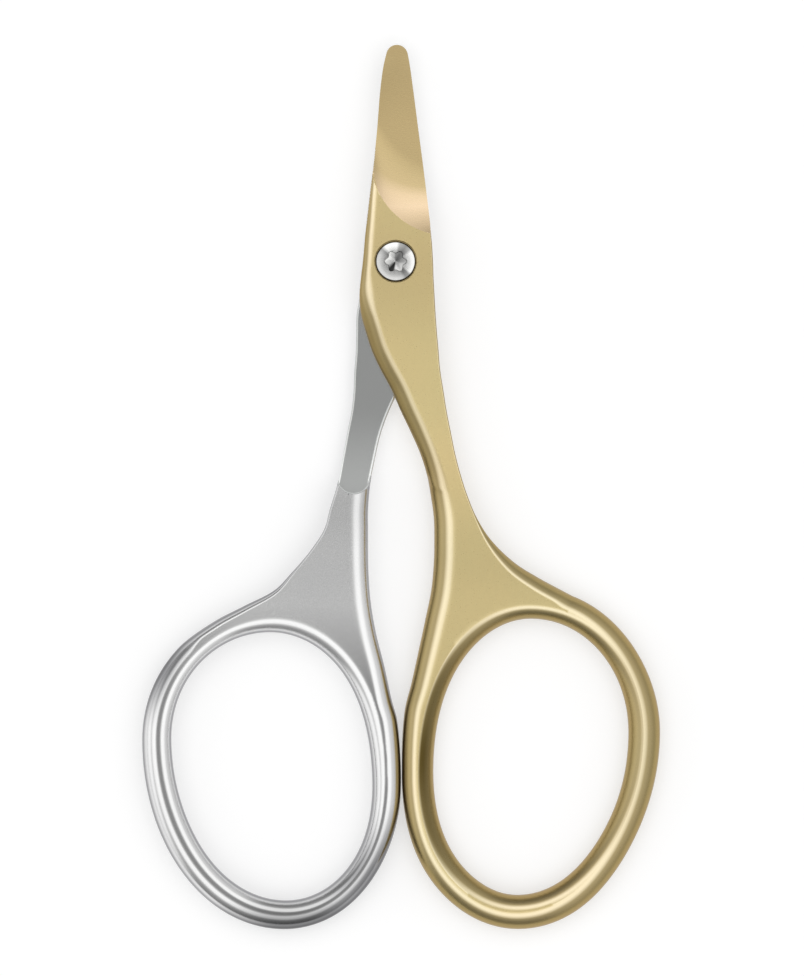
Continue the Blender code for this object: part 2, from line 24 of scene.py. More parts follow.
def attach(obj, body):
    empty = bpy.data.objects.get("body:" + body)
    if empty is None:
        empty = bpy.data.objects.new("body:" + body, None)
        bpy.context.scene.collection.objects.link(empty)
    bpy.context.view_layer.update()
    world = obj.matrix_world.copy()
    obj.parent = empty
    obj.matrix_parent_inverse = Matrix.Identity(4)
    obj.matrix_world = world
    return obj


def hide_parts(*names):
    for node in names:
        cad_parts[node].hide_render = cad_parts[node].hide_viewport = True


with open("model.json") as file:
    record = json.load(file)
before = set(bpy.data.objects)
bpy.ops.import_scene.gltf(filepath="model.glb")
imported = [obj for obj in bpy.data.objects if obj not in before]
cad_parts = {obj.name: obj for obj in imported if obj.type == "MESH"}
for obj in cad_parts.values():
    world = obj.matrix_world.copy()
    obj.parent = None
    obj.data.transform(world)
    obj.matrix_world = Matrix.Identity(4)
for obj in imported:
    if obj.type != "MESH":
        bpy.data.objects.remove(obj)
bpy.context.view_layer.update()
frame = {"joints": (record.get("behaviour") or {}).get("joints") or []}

MM = 0.001  # One millimetre in metres.
WELD = 0.00001  # Points nearer than this, in millimetres, are taken for one.
# Name of the mask of painted shade that the forgings' points carry.
SHADE = "shade"
TOWARDS_HOLE = "towards_hole"
WHITE = (1, 1, 1)

BMesh = bmesh.types.BMesh
Socket = bpy.types.NodeSocket
Piece = bpy.types.Object
Array = np.ndarray
Colour = tuple[float, float, float]
Measure = float | Array
Pairs = list[tuple[Vector, Vector]]
Places = tuple[tuple[float, float], ...]
Triple = tuple[float, float, float]
Knots = tuple[Triple, ...]
Stops = tuple[tuple[float, Colour], ...]

log = logging.getLogger("nail_scissors")


class Side(Enum):
    """The two long sides of a half."""

    INNER = -1
    OUTER = 1


class Face(Enum):
    """Surfaces of a half that are finished apart, by their material slot."""

    BODY = 0
    GROUND = 1
    LAP = 2


# Measuring helpers

def mix(low: Measure | Vector, high: Measure | Vector, share: Measure) -> Measure | Vector:
    """Gives the number, vector or array that lies a share of the way from low to high."""
    return low + (high - low) * share


def ease(value: Measure, start: float, end: float) -> Measure:
    """Rises smoothly from 0 at start to 1 at end, which may lie on either side of it."""
    share = np.clip((value - start) / (end - start), 0.0, 1.0)
    return share * share * (3 - 2 * share)


def rounded(distance: Array, width: Measure, crest_tilt: Measure = 0.0,
            power: Measure = 2.0) -> Array:
    """Gives the height share of a rounded flank, 0 at its foot and 1 at its crest.

    Args:
        distance: Distances in from the foot.
        width: Width of the flank, one value or one for each distance.
        crest_tilt: How far the flank still leans at its crest, in degrees.
        power: 2 for an elliptic flank, more for a fuller one and less for a straighter one.

    Returns:
        The shares.
    """
    lean = np.sin(np.radians(crest_tilt))
    share = np.clip(distance / width, 0.0, 1.0) * (1 - lean)
    return ((1 - (1 - share) ** power) / (1 - lean ** power)) ** (1 / power)


def falling(y: Array, places: Places) -> Array:
    """Eases a measure from place to place down a half, or round its ring.

    Args:
        y: Heights along the half, or angles.
        places: Pairs of a place and the measure there, the highest first.

    Returns:
        The measure at each place.
    """
    result = np.full(np.shape(y), places[0][1], dtype=float)
    for (upper, before), (lower, after) in zip(places, places[1:]):
        result += (after - before) * ease(y, upper, lower)
    return result


def even_shares(count: int) -> list[float]:
    """Divides 0 to 1 into a number of equal steps."""
    return [step / count for step in range(count + 1)]


def polar(centre: Vector, radius: float, degrees: float) -> Vector:
    """Gives the point at an angle on a circle."""
    angle = math.radians(degrees)
    return Vector((centre.x + radius * math.cos(angle), centre.y + radius * math.sin(angle)))


def rows_of(points: list[Vector]) -> Array:
    """Lays points out as rows of x and y."""
    return np.array([point.to_tuple() for point in points])


def across_at(side: Array, y: Measure) -> Measure:
    """Gives how far across a falling side lies at heights."""
    return np.interp(-y, -side[:, 1], side[:, 0])


def spline(knots: list[Vector], steps: int) -> list[Vector]:
    """Runs a smooth path through all knots but the first and last, which only aim it.

    Args:
        knots: Points in order.
        steps: Points to lay between two knots.

    Returns:
        The points of the path.
    """
    path = []
    for before, start, end, after in zip(knots, knots[1:], knots[2:], knots[3:]):
        first = math.sqrt((start - before).length)
        span = math.sqrt((end - start).length)
        last = math.sqrt((after - end).length)
        leave = end - start + span * ((start - before) / first - (end - before) / (first + span))
        arrive = end - start + span * ((after - end) / last - (after - start) / (span + last))
        cubic = 2 * (start - end) + leave + arrive
        square = 3 * (end - start) - 2 * leave - arrive
        for step in range(steps):
            share = step / steps
            path.append(((cubic * share + square) * share + leave) * share + start)
    path.append(knots[-2])
    return path


def split_at(path: list[Vector], y: float) -> tuple[list[Vector], list[Vector]]:
    """Splits a falling path at a height.

    Args:
        path: The path's points.
        y: The height.

    Returns:
        The upper and the lower piece, with the meeting point in both.
    """
    for index, (upper, lower) in enumerate(zip(path, path[1:])):
        if upper.y > y >= lower.y:
            meeting = upper.lerp(lower, (upper.y - y) / (upper.y - lower.y))
            return path[:index + 1] + [meeting], [meeting] + path[index + 1:]
    raise ValueError("the path does not reach that height")


def with_point(path: list[Vector], y: float) -> list[Vector]:
    """Adds a point to a falling path at a height."""
    upper, lower = split_at(path, y)
    return upper + lower[1:]


def enclosed(points: Array, loop: list[Vector]) -> Array:
    """Tells which points lie inside a closed loop.

    Args:
        points: Rows of x and y.
        loop: The loop's points.

    Returns:
        True for each point inside.
    """
    ends = rows_of(loop)
    starts = np.roll(ends, 1, 0)
    x, y = points[:, None, 0], points[:, None, 1]
    crosses = (starts[:, 1] > y) != (ends[:, 1] > y)
    rise = ends[:, 1] - starts[:, 1]
    slope = (ends[:, 0] - starts[:, 0]) / np.where(rise == 0, 1, rise)
    return (crosses & (x < starts[:, 0] + (y - starts[:, 1]) * slope)).sum(1) % 2 == 1


class Border:
    """One border path of a half, for measuring how far in a point lies."""

    CHUNK = 4000

    def __init__(self, path: list[Vector], widths: Measure, tilts: Measure,
                 powers: Measure = 2.0) -> None:
        """Keeps the path's legs as arrays.

        Args:
            path: The border's points.
            widths: Width of the flank at each point, or one for all.
            tilts: Lean of the flank at its crest at each point, or one for all.
            powers: Fullness of the flank at each point, or one for all.
        """
        points = rows_of(path)
        self.start = points[:-1]
        self.run = points[1:] - points[:-1]
        self.square = np.maximum((self.run ** 2).sum(1), WELD ** 2)
        self.widths, self.tilts, self.powers = (np.broadcast_to(values, len(points))
                                                for values in (widths, tilts, powers))

    @staticmethod
    def read(place: Array, values: Array) -> Array:
        """Reads the values of the border's points at places between them."""
        return np.interp(place, np.arange(len(values)), values)

    def share(self, points: Array, rim_width: Measure | None = None) -> Array:
        """Gives the height share of the flank along this border.

        Args:
            points: Rows of x and y.
            rim_width: Width of a plain rim to use in place of the flank's own.

        Returns:
            The shares, 0 on the border and 1 from the crest inwards.
        """
        distance, place = self.nearest(points)
        width, tilt, power = (self.read(place, values) for values in (self.widths, self.tilts, self.powers))
        if rim_width is not None:
            return rounded(distance, np.minimum(rim_width, width))
        return rounded(distance, width, tilt, power)

    def clear(self, points: Array, room: float) -> Array:
        """Tells which points lie beyond the flank's crest with some room."""
        distance, place = self.nearest(points)
        return distance > self.read(place, self.widths) + room

    def depth(self, points: Array) -> Array:
        """Gives how far across the flank points lie, 0 at its foot and 1 at its crest."""
        distance, place = self.nearest(points)
        return distance / self.read(place, self.widths)

    def nearest(self, points: Array) -> tuple[Array, Array]:
        """Measures points against the path.

        Args:
            points: Rows of x and y.

        Returns:
            Each point's distance to the path, and how many points along it the nearest place lies.
        """
        distances, places = [], []
        for first in range(0, len(points), self.CHUNK):
            offset = points[first:first + self.CHUNK, None, :] - self.start
            share = np.clip((offset * self.run).sum(2) / self.square, 0, 1)
            gap = offset - share[..., None] * self.run
            reach = (gap ** 2).sum(2)
            leg = reach.argmin(1)
            row = np.arange(len(leg))
            distances.append(np.sqrt(reach[row, leg]))
            places.append(leg + share[row, leg])
        return np.concatenate(distances), np.concatenate(places)


# Finishes

def greys(stops: Places | list[tuple[float, float]]) -> Stops:
    """Turns places with grey levels into places with colours."""
    return tuple((place, (grey, grey, grey)) for place, grey in stops)


class NodeBench:
    """Lays out the shader nodes of a material or the world."""

    NOISE_LOW = 0.3
    NOISE_HIGH = 0.7

    def __init__(self, tree: bpy.types.NodeTree) -> None:
        """Starts with the coordinates that the patterns are laid by."""
        self.tree = tree
        self.coordinates = self.add("ShaderNodeTexCoord").outputs

    def add(self, kind: str, inputs: dict | None = None, **settings: str) -> bpy.types.ShaderNode:
        """Adds a node.

        Args:
            kind: The node's type.
            inputs: Its sockets, each with a plain value or the output that feeds it.
            settings: Its properties.

        Returns:
            The node.
        """
        node = self.tree.nodes.new(kind)
        for name, value in settings.items():
            setattr(node, name, value)
        self.feed(node, inputs or {})
        return node

    def feed(self, node: bpy.types.ShaderNode, inputs: dict) -> None:
        """Joins outputs to a node's sockets, or sets plain values on them.

        Args:
            node: The node.
            inputs: Its sockets, each with a plain value or the output that feeds it.
        """
        for name, value in inputs.items():
            socket = node.inputs[name]
            if isinstance(value, Socket):
                self.tree.links.new(value, socket)
            elif socket.type == "RGBA":
                socket.default_value = (*value, 1)
            else:
                socket.default_value = value

    def mapped(self, stretch: Triple, turn: float = 0.0) -> Socket:
        """Gives the place in pattern repeats per metre along X, Y and Z, turned about Z in degrees."""
        inputs = {"Vector": self.coordinates["Object"], "Rotation": (0, 0, math.radians(turn)),
                  "Scale": tuple(1 / value for value in stretch)}
        return self.add("ShaderNodeMapping", inputs, vector_type="TEXTURE").outputs["Vector"]

    def noise(self, vector: Socket, detail: float) -> Socket:
        """Makes soft noise of about 0.5 at a mapped place, with a number of finer layers."""
        inputs = {"Vector": vector, "Scale": 1, "Detail": detail}
        return self.add("ShaderNodeTexNoise", inputs).outputs["Fac"]

    def spread(self, value: Socket, low: float, high: float) -> Socket:
        """Turns noise of about 0.3 to 0.7 into a number from low to high."""
        inputs = {"Value": value, "From Min": self.NOISE_LOW, "From Max": self.NOISE_HIGH,
                  "To Min": low, "To Max": high}
        return self.add("ShaderNodeMapRange", inputs).outputs["Result"]

    def drifting(self, value: Socket, middle: float, reach: float) -> Socket:
        """Turns noise into a number that lies up to a reach on both sides of a middle."""
        return self.spread(value, middle - reach, middle + reach)

    def blend(self, factor: Socket | float, first: Socket | Colour, second: Socket | Colour,
              way: str = "MIX") -> Socket:
        """Blends two colours by a factor, 0 for the first and 1 for the second."""
        inputs = {0: factor, 6: first, 7: second}
        return self.add("ShaderNodeMix", inputs, data_type="RGBA", blend_type=way).outputs[2]

    def times(self, first: Socket, second: Socket) -> Socket:
        """Multiplies two colours."""
        return self.blend(1, first, second, "MULTIPLY")

    def reckon(self, operation: str, *values: Socket | float) -> Socket:
        """Gives what an operation makes of one or two numbers."""
        return self.add("ShaderNodeMath", dict(enumerate(values)), operation=operation).outputs[0]

    def part(self, name: str, axis: str) -> Socket:
        """Gives one axis of a coordinate."""
        return self.add("ShaderNodeSeparateXYZ", {0: self.coordinates[name]}).outputs[axis]

    def along(self, start: float, end: float) -> Socket:
        """Rises from 0 to 1 between two places along the scissors, given in metres."""
        inputs = {"Value": self.part("Object", "Y"), "From Min": start, "From Max": end}
        return self.add("ShaderNodeMapRange", inputs).outputs["Result"]

    def ramp(self, value: Socket, stops: Stops, way: str = "LINEAR") -> Socket:
        """Turns a number into a colour.

        Args:
            value: The number.
            stops: Places from 0 to 1, each with its colour.
            way: How the colours run from stop to stop.

        Returns:
            The colour.
        """
        node = self.add("ShaderNodeValToRGB", {"Fac": value})
        node.color_ramp.interpolation = way
        elements = node.color_ramp.elements
        while len(elements) < len(stops):
            elements.new(1)
        for element, (place, colour) in zip(elements, stops):
            element.position = place
            element.color = (*colour, 1)
        return node.outputs["Color"]

    def lengthwise_light_and_shade(self, stops: Places) -> Socket:
        """Paints light and shade as a tone that changes slowly along the scissors.

        Args:
            stops: Greys at rising places in millimetres.

        Returns:
            The tone.
        """
        low, high = stops[0][0], stops[-1][0]
        shares = greys([((place - low) / (high - low), grey) for place, grey in stops])
        return self.ramp(self.along(low * MM, high * MM), shares, "EASE")

    def mask(self, name: str) -> Socket:
        """Reads a mask that the piece's points carry."""
        return self.add("ShaderNodeAttribute", attribute_name=name).outputs["Fac"]

    def light_and_shade_by_facing(self, stops: Stops, axis: str) -> Socket:
        """Paints light and shade into the piece's colour by how far its surface faces along an axis, 0
        across it and 1 along it.
        """
        return self.ramp(self.reckon("ABSOLUTE", self.part("Normal", axis)), stops)

    def bump(self, height: Socket, depth: float, **below: Socket) -> Socket:
        """Raises the surface by a pattern of a depth in metres, on top of a coarser pattern's Normal."""
        return self.add("ShaderNodeBump", {"Height": height, "Distance": depth, **below}).outputs["Normal"]


class MaterialBench(NodeBench):
    """Lays out the shader nodes of one material."""

    def __init__(self, name: str) -> None:
        """Starts a material with a Principled shader.

        Args:
            name: The material's name.
        """
        self.material = bpy.data.materials.new(name)
        self.material.use_nodes = True
        super().__init__(self.material.node_tree)

    def finish(self, inputs: dict) -> bpy.types.Material:
        """Feeds the shader and gives the material."""
        self.feed(self.tree.nodes["Principled BSDF"], inputs)
        return self.material


@dataclass(frozen=True)
class SatinMetal:
    """Metal with a fine blasted or brushed surface, a slow drift of its colour, and painted light and shade.
    """

    name: str
    stops: Stops
    drift_tint: Colour
    roughness: float
    roughness_spread: float = 0.03
    grain: Triple = (9000, 9000, 9000)
    grain_depth: float = 0.0000009
    grain_turn: float = 0.0
    drift: Triple = (90, 90, 90)
    wave: Triple = (160, 110, 160)
    wave_depth: float = 0.00005
    axis: str = "Z"
    streak_tint: Colour = WHITE
    # Colour that the painted shade mask darkens the metal towards.
    shade_tint: Colour = WHITE
    # Painted light and shade along the scissors, as greys at places in millimetres.
    lengthwise_light_and_shade: Places = ((-45, 1), (45, 1))
    ring_roughness: float = 0.0
    # Share of colour left on the ring's crest where it faces straight up: a painted dark line.
    ring_crest_shade: float = 1.0
    ring_start: float = -0.012
    ring_end: float = -0.021
    crest_start: float = 0.985
    crest_end: float = 0.998

    def make(self) -> bpy.types.Material:
        """Builds the material.

        Returns:
            The material.
        """
        bench = MaterialBench(self.name)
        grain = bench.noise(bench.mapped(self.grain, self.grain_turn), detail=3)
        drift = bench.spread(bench.noise(bench.mapped(self.drift), detail=2), 0, 1)
        # Painted light and shade: the colour follows how the surface faces and a tone along the scissors.
        colour = bench.times(bench.light_and_shade_by_facing(self.stops, self.axis), bench.lengthwise_light_and_shade(self.lengthwise_light_and_shade))
        # The drift and the streaks are the metal's own; the shade mask paints shade.
        for mask, tint in ((drift, self.drift_tint), (bench.spread(grain, 0, 1), self.streak_tint),
                           (bench.mask(SHADE), self.shade_tint)):
            colour = bench.times(colour, bench.blend(mask, WHITE, tint))
        roughness = bench.drifting(grain, self.roughness, self.roughness_spread)
        if self.ring_roughness:
            ring = bench.along(self.ring_start, self.ring_end)
            # Painted shade: on the ring, faces that look straight up are darkened to a dark line along the
            # crest.
            facing = ((0, 1), (self.crest_start, 1), (self.crest_end, self.ring_crest_shade))
            crest = bench.light_and_shade_by_facing(greys(facing), "Z")
            colour = bench.times(colour, bench.blend(ring, WHITE, crest))
            roughness = bench.blend(ring, roughness, (self.ring_roughness,) * 3)
        wave = bench.bump(bench.noise(bench.mapped(self.wave), detail=0), self.wave_depth)
        return bench.finish({"Metallic": 1, "Base Color": colour, "Roughness": roughness,
                             "Normal": bench.bump(grain, self.grain_depth, Normal=wave)})


# Painted light and shade: steep faces are dark olive brown, faces a little off flat carry a painted cream
# highlight, and the tone along the half rises and falls, darkest round the pivot.
GOLD_SATIN = SatinMetal(
    "Gold satin coating",
    ((0.0, (0.40, 0.28, 0.12)), (0.45, (0.40, 0.28, 0.11)), (0.75, (0.40, 0.30, 0.13)),
     (0.92, (0.50, 0.39, 0.20)), (0.97, (0.92, 0.78, 0.53)), (0.99, (0.91, 0.76, 0.49)),
     (0.998, (0.87, 0.69, 0.345))),
    (0.96, 1.0, 1.0), 0.30, shade_tint=(0.26, 0.23, 0.13),
    lengthwise_light_and_shade=((-45, 1), (-12, 1), (-8, 0.95), (4, 1.1), (12, 1.06), (22, 0.92), (30, 1)))
# Painted highlight: where the ground face leans towards the tip near its start it is bright peach, and the
# tone along the scissors paints it darker towards the tip.
GOLD_GROUND = SatinMetal(
    "Gold coating on ground steel",
    ((0.0, (0.54, 0.41, 0.205)), (0.07, (0.57, 0.44, 0.225)), (0.145, (0.61, 0.47, 0.25)),
     (0.19, (0.81, 0.62, 0.39)), (0.235, (0.89, 0.68, 0.45)), (0.28, (0.76, 0.58, 0.37)),
     (0.36, (0.55, 0.42, 0.25))),
    (0.96, 0.97, 0.97), 0.28, grain=(2500, 14000, 2500), grain_depth=0.0000006, axis="Y",
    lengthwise_light_and_shade=((-45, 1), (34, 1), (44, 0.82)))
# Painted shade: steep faces are dark grey, the ring's flat crest is darkened, and the tone along the
# scissors darkens the bottom of the ring and the shank below the half lap.
STEEL_SATIN = SatinMetal(
    "Satin polished steel",
    ((0.0, (0.31, 0.31, 0.32)), (0.42, (0.31, 0.31, 0.32)), (0.66, (0.80, 0.80, 0.80)),
     (1.0, (0.84, 0.84, 0.835))),
    (0.96, 0.96, 0.965), 0.25, ring_roughness=0.19, ring_crest_shade=0.62, shade_tint=(0.4, 0.4, 0.41),
    lengthwise_light_and_shade=((-45, 0.5), (-43.9, 0.62), (-41.5, 0.94), (-14, 1), (-7, 0.96), (-2, 0.86), (3, 1)))
# Painted shade on the steep faces, and painted light: the lap face is lighter towards its step.
STEEL_GROUND = SatinMetal(
    "Ground steel", ((0.0, (0.5, 0.5, 0.5)), (0.7, (0.62, 0.63, 0.62)), (1.0, (0.62, 0.63, 0.62))),
    (0.97, 0.975, 0.97), 0.18, grain=(900, 16000, 900), grain_depth=0.0000012, grain_turn=-35,
    streak_tint=(0.9, 0.9, 0.9), lengthwise_light_and_shade=((-45, 1.42), (0, 1.42), (9, 1.0), (45, 1.0)))


@dataclass(frozen=True)
class TurnedSteel:
    """Bright steel turned on a lathe, with its reflections painted as light and dark wedges round its axis.
    """

    name: str
    painted_reflection_wedges: Places
    roughness: float = 0.2
    roughness_spread: float = 0.03
    warmth: float = 0.98
    anisotropic: float = 0.5
    grain: Triple = (5000, 5000, 5000)
    mark_scale: float = 700
    mark_depth: float = 0.0000004

    def make(self, centre: Vector) -> bpy.types.Material:
        """Builds the material.

        Args:
            centre: A point on the lathe axis, in metres.

        Returns:
            The material.
        """
        bench = MaterialBench(self.name)
        moved = bench.add("ShaderNodeMapping",
                          {"Vector": bench.coordinates["Object"], "Location": -centre}).outputs["Vector"]
        turn = bench.add("ShaderNodeTexGradient", {"Vector": moved}, gradient_type="RADIAL")
        # Painted reflections: the colour turns lighter and darker round the axis.
        stops = [((angle + 180) / 360, (grey, grey, grey * self.warmth)) for angle, grey in self.painted_reflection_wedges]
        marks = bench.add("ShaderNodeTexWave", {"Vector": moved, "Scale": self.mark_scale},
                          wave_type="RINGS", rings_direction="Z")
        grain = bench.noise(bench.mapped(self.grain), detail=2)
        roughness = bench.drifting(grain, self.roughness, self.roughness_spread)
        tangent = bench.add("ShaderNodeTangent", direction_type="RADIAL", axis="Z")
        return bench.finish({
            "Metallic": 1, "Anisotropic": self.anisotropic,
            "Base Color": bench.ramp(turn.outputs["Fac"], stops),
            "Normal": bench.bump(marks.outputs["Fac"], self.mark_depth),
            "Roughness": roughness, "Tangent": tangent.outputs["Tangent"]})


# Painted reflections in light and dark wedges; the darkest wedges in the recess are painted shade.
SCREW_FACE = TurnedSteel(
    "Bright turned steel",
    ((-180, 0.60), (-120, 0.64), (-85, 0.66), (-68, 0.56), (-56, 0.26), (-44, 0.30), (-36, 0.84),
     (30, 0.84), (40, 0.40), (56, 0.26), (76, 0.42), (86, 0.92), (124, 0.92), (138, 0.34), (158, 0.56),
     (180, 0.60)))
SCREW_RECESS = TurnedSteel(
    "Pressed recess steel",
    ((-180, 0.75), (-150, 0.30), (-130, 0.03), (-105, 0.04), (-90, 0.70), (-40, 0.55), (0, 0.40),
     (35, 0.16), (90, 0.22), (120, 0.75), (180, 0.75)), 0.25)


@dataclass(frozen=True)
class DarkPolymer:
    """Dark bearing plastic with a faint moulded grain."""

    name: str = "Dark bearing plastic"
    colour: Colour = (0.025, 0.025, 0.027)
    worn_colour: Colour = (0.05, 0.05, 0.05)
    grain: Triple = (6000, 6000, 6000)
    grain_depth: float = 0.000002
    roughness: float = 0.525
    roughness_spread: float = 0.075

    def make(self) -> bpy.types.Material:
        """Builds the material.

        Returns:
            The material.
        """
        bench = MaterialBench(self.name)
        grain = bench.noise(bench.mapped(self.grain), detail=2)
        colour = bench.blend(bench.spread(grain, 0, 1), self.colour, self.worn_colour)
        roughness = bench.drifting(grain, self.roughness, self.roughness_spread)
        return bench.finish({"Metallic": 0, "Base Color": colour, "Roughness": roughness,
                             "Normal": bench.bump(grain, self.grain_depth)})


# The forged halves

@dataclass(frozen=True)
class Forging:
    """One half of the scissors: blade, half lap, shank and finger ring in one forging.

    The shares lay knots of the two sides. The flanks, depths, powers, shades and bulges are places with
    their values, from the highest place down, and round the ring from 180 degrees at the other half.
    """

    node: str
    body: str
    slot: str
    finishes: tuple[SatinMetal, ...]
    flipped: bool
    blade_length: float
    tip_radius: float
    tip_offset: float
    hole_width: float
    hole_height: float
    ring_wall: float
    shank_length: float
    contact: float
    lap_reach: float
    outer_join_angle: float
    hole_shares: dict[str, float]
    blade_shares: Knots
    joint_shares: Knots
    shank_shares: Knots
    inner_web_shares: Places
    outer_web_shares: Places
    inner_flanks: Places
    outer_flanks: Places
    seat_radius: float
    seat_floor: float
    joint_width: float = 7.64
    thickness: float = 3.2
    shank_width: float = 3.4
    hole_flanks: Places = ((180, 0.49), (0, 0.47), (-180, 0.49))
    ridge_tilt: float = 0.0
    hole_tilts: tuple[float, float] = (0, 0)
    inner_powers: Places = ((8, 2), (-34, 2))
    inner_depths: Places = ((9, 0.3), (3, 0.5), (-2, 0.65), (-8, 1.6))
    outer_depths: Places = ((-20, 0.16), (-28, 1.6))
    # The shades are painted shade that darkens the metal's colour through the shade mask.
    inner_shade: Places = ((0, 0), (-1, 0))
    hole_shade: Places = ((180, 0), (-180, 0))
    ring_shade: Places = ((180, 0), (-180, 0))
    hole_power: float = 2.0
    hole_bulges: Places = ((180, 0), (-180, 0))
    ring_bulges: Places = ((180, 0), (-180, 0))
    lap_clearance: float = 0.15
    joint_rim: float = 0.2
    joint_rim_width: float = 0.3
    blade_rim: float = 0.04
    step_radius: float = 1.75
    step_run: float = 0.14
    bore_radius: float = 1.28
    mouth_bevel: float = 0.03
    grind_spine_reach: float = 8.81
    grind_edge_reach: float = 2.81
    grind_radius: float = 8.02
    grind_run_out: float = 7.0
    spine_thickness: float = 1.0
    tip_thickness: float = 0.7
    edge_thickness: float = 0.22

    FLANK_STEPS = 12
    SPLINE_STEPS = 12
    RING_STEPS = 220
    SOFT_STEPS = range(-15, 16, 3)  # Degrees to both sides that round_ring takes its mean over.
    WEB_STEPS = 84
    TIP_STEPS = 28
    ROUND_STEPS = 72
    ARC_STEPS = 16
    GROUND_ROWS = 56
    LAP_STEP_ROWS = 8
    FILL_STEP = 0.5
    SHARP_ANGLE = 34.0
    RIDGE_ANGLE = 14.0
    INNER_JOIN = 180
    JOIN_LEAD = 15
    TIP_ANGLES = {Side.INNER: 172, Side.OUTER: 8}
    TIP_LEAD = 20
    ARC_GAP = WELD * 10

    @property
    def half_thickness(self) -> float:
        """Height of the flat outside over the middle plane."""
        return self.thickness / 2

    @property
    def hole_side(self) -> float:
        """Distance out to the near side of the hole."""
        return self.contact + self.ring_wall

    @property
    def hole_centre(self) -> float:
        """Distance out to the middle of the hole."""
        return self.hole_side + self.hole_width / 2

    def far_share(self, degrees: float) -> float:
        """Tells how much a place on the ring counts as its far side, 0 at the other half."""
        return ((1 + math.cos(math.radians(degrees))) / 2) ** 2

    def hole_flank(self, degrees: float) -> float:
        """Gives the width of the ring's flank towards the hole at an angle."""
        return self.ring_wall * self.round_ring(degrees, self.hole_flanks)

    def round_ring(self, degrees: float, places: Places) -> float:
        """Gives a value at an angle round the ring, with the corners at its places softened."""
        turns = [(degrees + step + 180) % 360 - 180 for step in self.SOFT_STEPS]
        return float(falling(np.array(turns), places).mean())

    # Outline

    def ring_point(self, degrees: float, distance: float) -> Vector:
        """Gives a point at a distance out from the hole, square to its oval.

        Args:
            degrees: Angle on the oval, counted from the side away from the other half.
            distance: How far out from the hole.

        Returns:
            The point.
        """
        angle = math.radians(degrees)
        across, upward = math.cos(angle), math.sin(angle)
        centre_share = self.hole_shares["top" if upward >= 0 else "bottom"]
        middle_share = self.hole_shares["outer" if across >= 0 else "inner"]
        centre = Vector((self.hole_side + self.hole_width * centre_share,
                         -self.shank_length - self.hole_height * middle_share))
        reach_x = self.hole_width * (1 - centre_share if across >= 0 else centre_share)
        reach_y = self.hole_height * (middle_share if upward >= 0 else 1 - middle_share)
        outward = Vector((reach_y * across, reach_x * upward)).normalized()
        bulges = [self.round_ring(degrees, places) for places in (self.hole_bulges, self.ring_bulges)]
        distance += mix(*bulges, distance / self.ring_wall)
        return centre + Vector((reach_x * across, reach_y * upward)) + outward * distance

    def ring_edge(self, degrees: float) -> Vector:
        """Gives a point on the outline of the ring."""
        return self.ring_point(degrees, self.ring_wall)

    def tip_point(self, degrees: float, inset: float = 0) -> Vector:
        """Gives a point on the round tip of the blade, or a little inside it."""
        centre = Vector((self.tip_offset, self.blade_length - self.tip_radius))
        return polar(centre, self.tip_radius - inset, degrees)

    def side_path(self, side: Side) -> list[Vector]:
        """Lays one side from the tip to where the web meets the ring.

        Args:
            side: Which side.

        Returns:
            The points of the side, falling.
        """
        sign = side.value
        column = 1 if side is Side.INNER else 2
        tip_angle = self.TIP_ANGLES[side]
        knots = [self.tip_point(tip_angle + sign * self.TIP_LEAD), self.tip_point(tip_angle)]
        for row in self.blade_shares:
            knots.append(Vector((row[column] * self.joint_width, row[0] * self.blade_length)))
        for row in self.joint_shares:
            knots.append(Vector((row[column] * self.joint_width, -row[0] * self.joint_width)))
        for along, centre, flare in self.shank_shares:
            x = centre * self.hole_centre + sign * mix(self.shank_width, self.joint_width, flare) / 2
            knots.append(Vector((x, -along * self.shank_length)))
        for along, out in self.inner_web_shares if side is Side.INNER else self.outer_web_shares:
            knots.append(Vector((out * self.hole_centre, -along * self.shank_length)))
        join = self.join(side)
        knots += [self.ring_edge(join), self.ring_edge(join - sign * self.JOIN_LEAD)]
        return spline(knots, self.SPLINE_STEPS)

    def free_angles(self) -> list[float]:
        """Gives the angles round the part of the ring that stands clear of the web."""
        turn = self.outer_join_angle + 360 - self.INNER_JOIN
        return [self.INNER_JOIN + turn * share for share in even_shares(self.RING_STEPS)]

    def web_angles(self) -> list[float]:
        """Gives the angles round the rest of the hole, where the web comes in.

        Returns:
            The angles in degrees, without the two joins.
        """
        turn = self.INNER_JOIN - self.outer_join_angle
        start = self.outer_join_angle + 360
        return [start + turn * share for share in even_shares(self.WEB_STEPS)[1:-1]]

    def tip_angles(self) -> list[float]:
        """Gives the angles round the tip from the outer to the inner side."""
        ends = self.TIP_ANGLES[Side.OUTER], self.TIP_ANGLES[Side.INNER]
        return [mix(*ends, share) for share in even_shares(self.TIP_STEPS)]

    def crest(self, degrees: float) -> Vector:
        """Gives the point of the ring's crest at an angle."""
        return self.ring_point(degrees, self.hole_flank(degrees))

    def join(self, side: Side) -> float:
        """Gives the angle round the ring where a side comes in."""
        return self.INNER_JOIN if side is Side.INNER else self.outer_join_angle

    def hole_tilt(self, degrees: float) -> float:
        """Gives how far the flank towards the hole still leans at its crest, in degrees."""
        return mix(*self.hole_tilts, self.far_share(degrees)) * math.cos(math.radians(degrees)) ** 2

    def inner_floor(self, y: Array) -> Array:
        """Gives how low the inner flank comes down before it drops upright to the seam."""
        return self.half_thickness - falling(y, self.inner_depths)

    def flank_width(self, side: Side, y: Array) -> Array:
        """Gives how far the polished rounding reaches in from a side.

        Args:
            side: Which side.
            y: Places along the half.

        Returns:
            The widths.
        """
        edge = self.ring_edge(self.join(side))
        places = self.inner_flanks if side is Side.INNER else self.outer_flanks
        return falling(y, places + ((edge.y, (edge - self.crest(self.join(side))).length),))

    # Heights

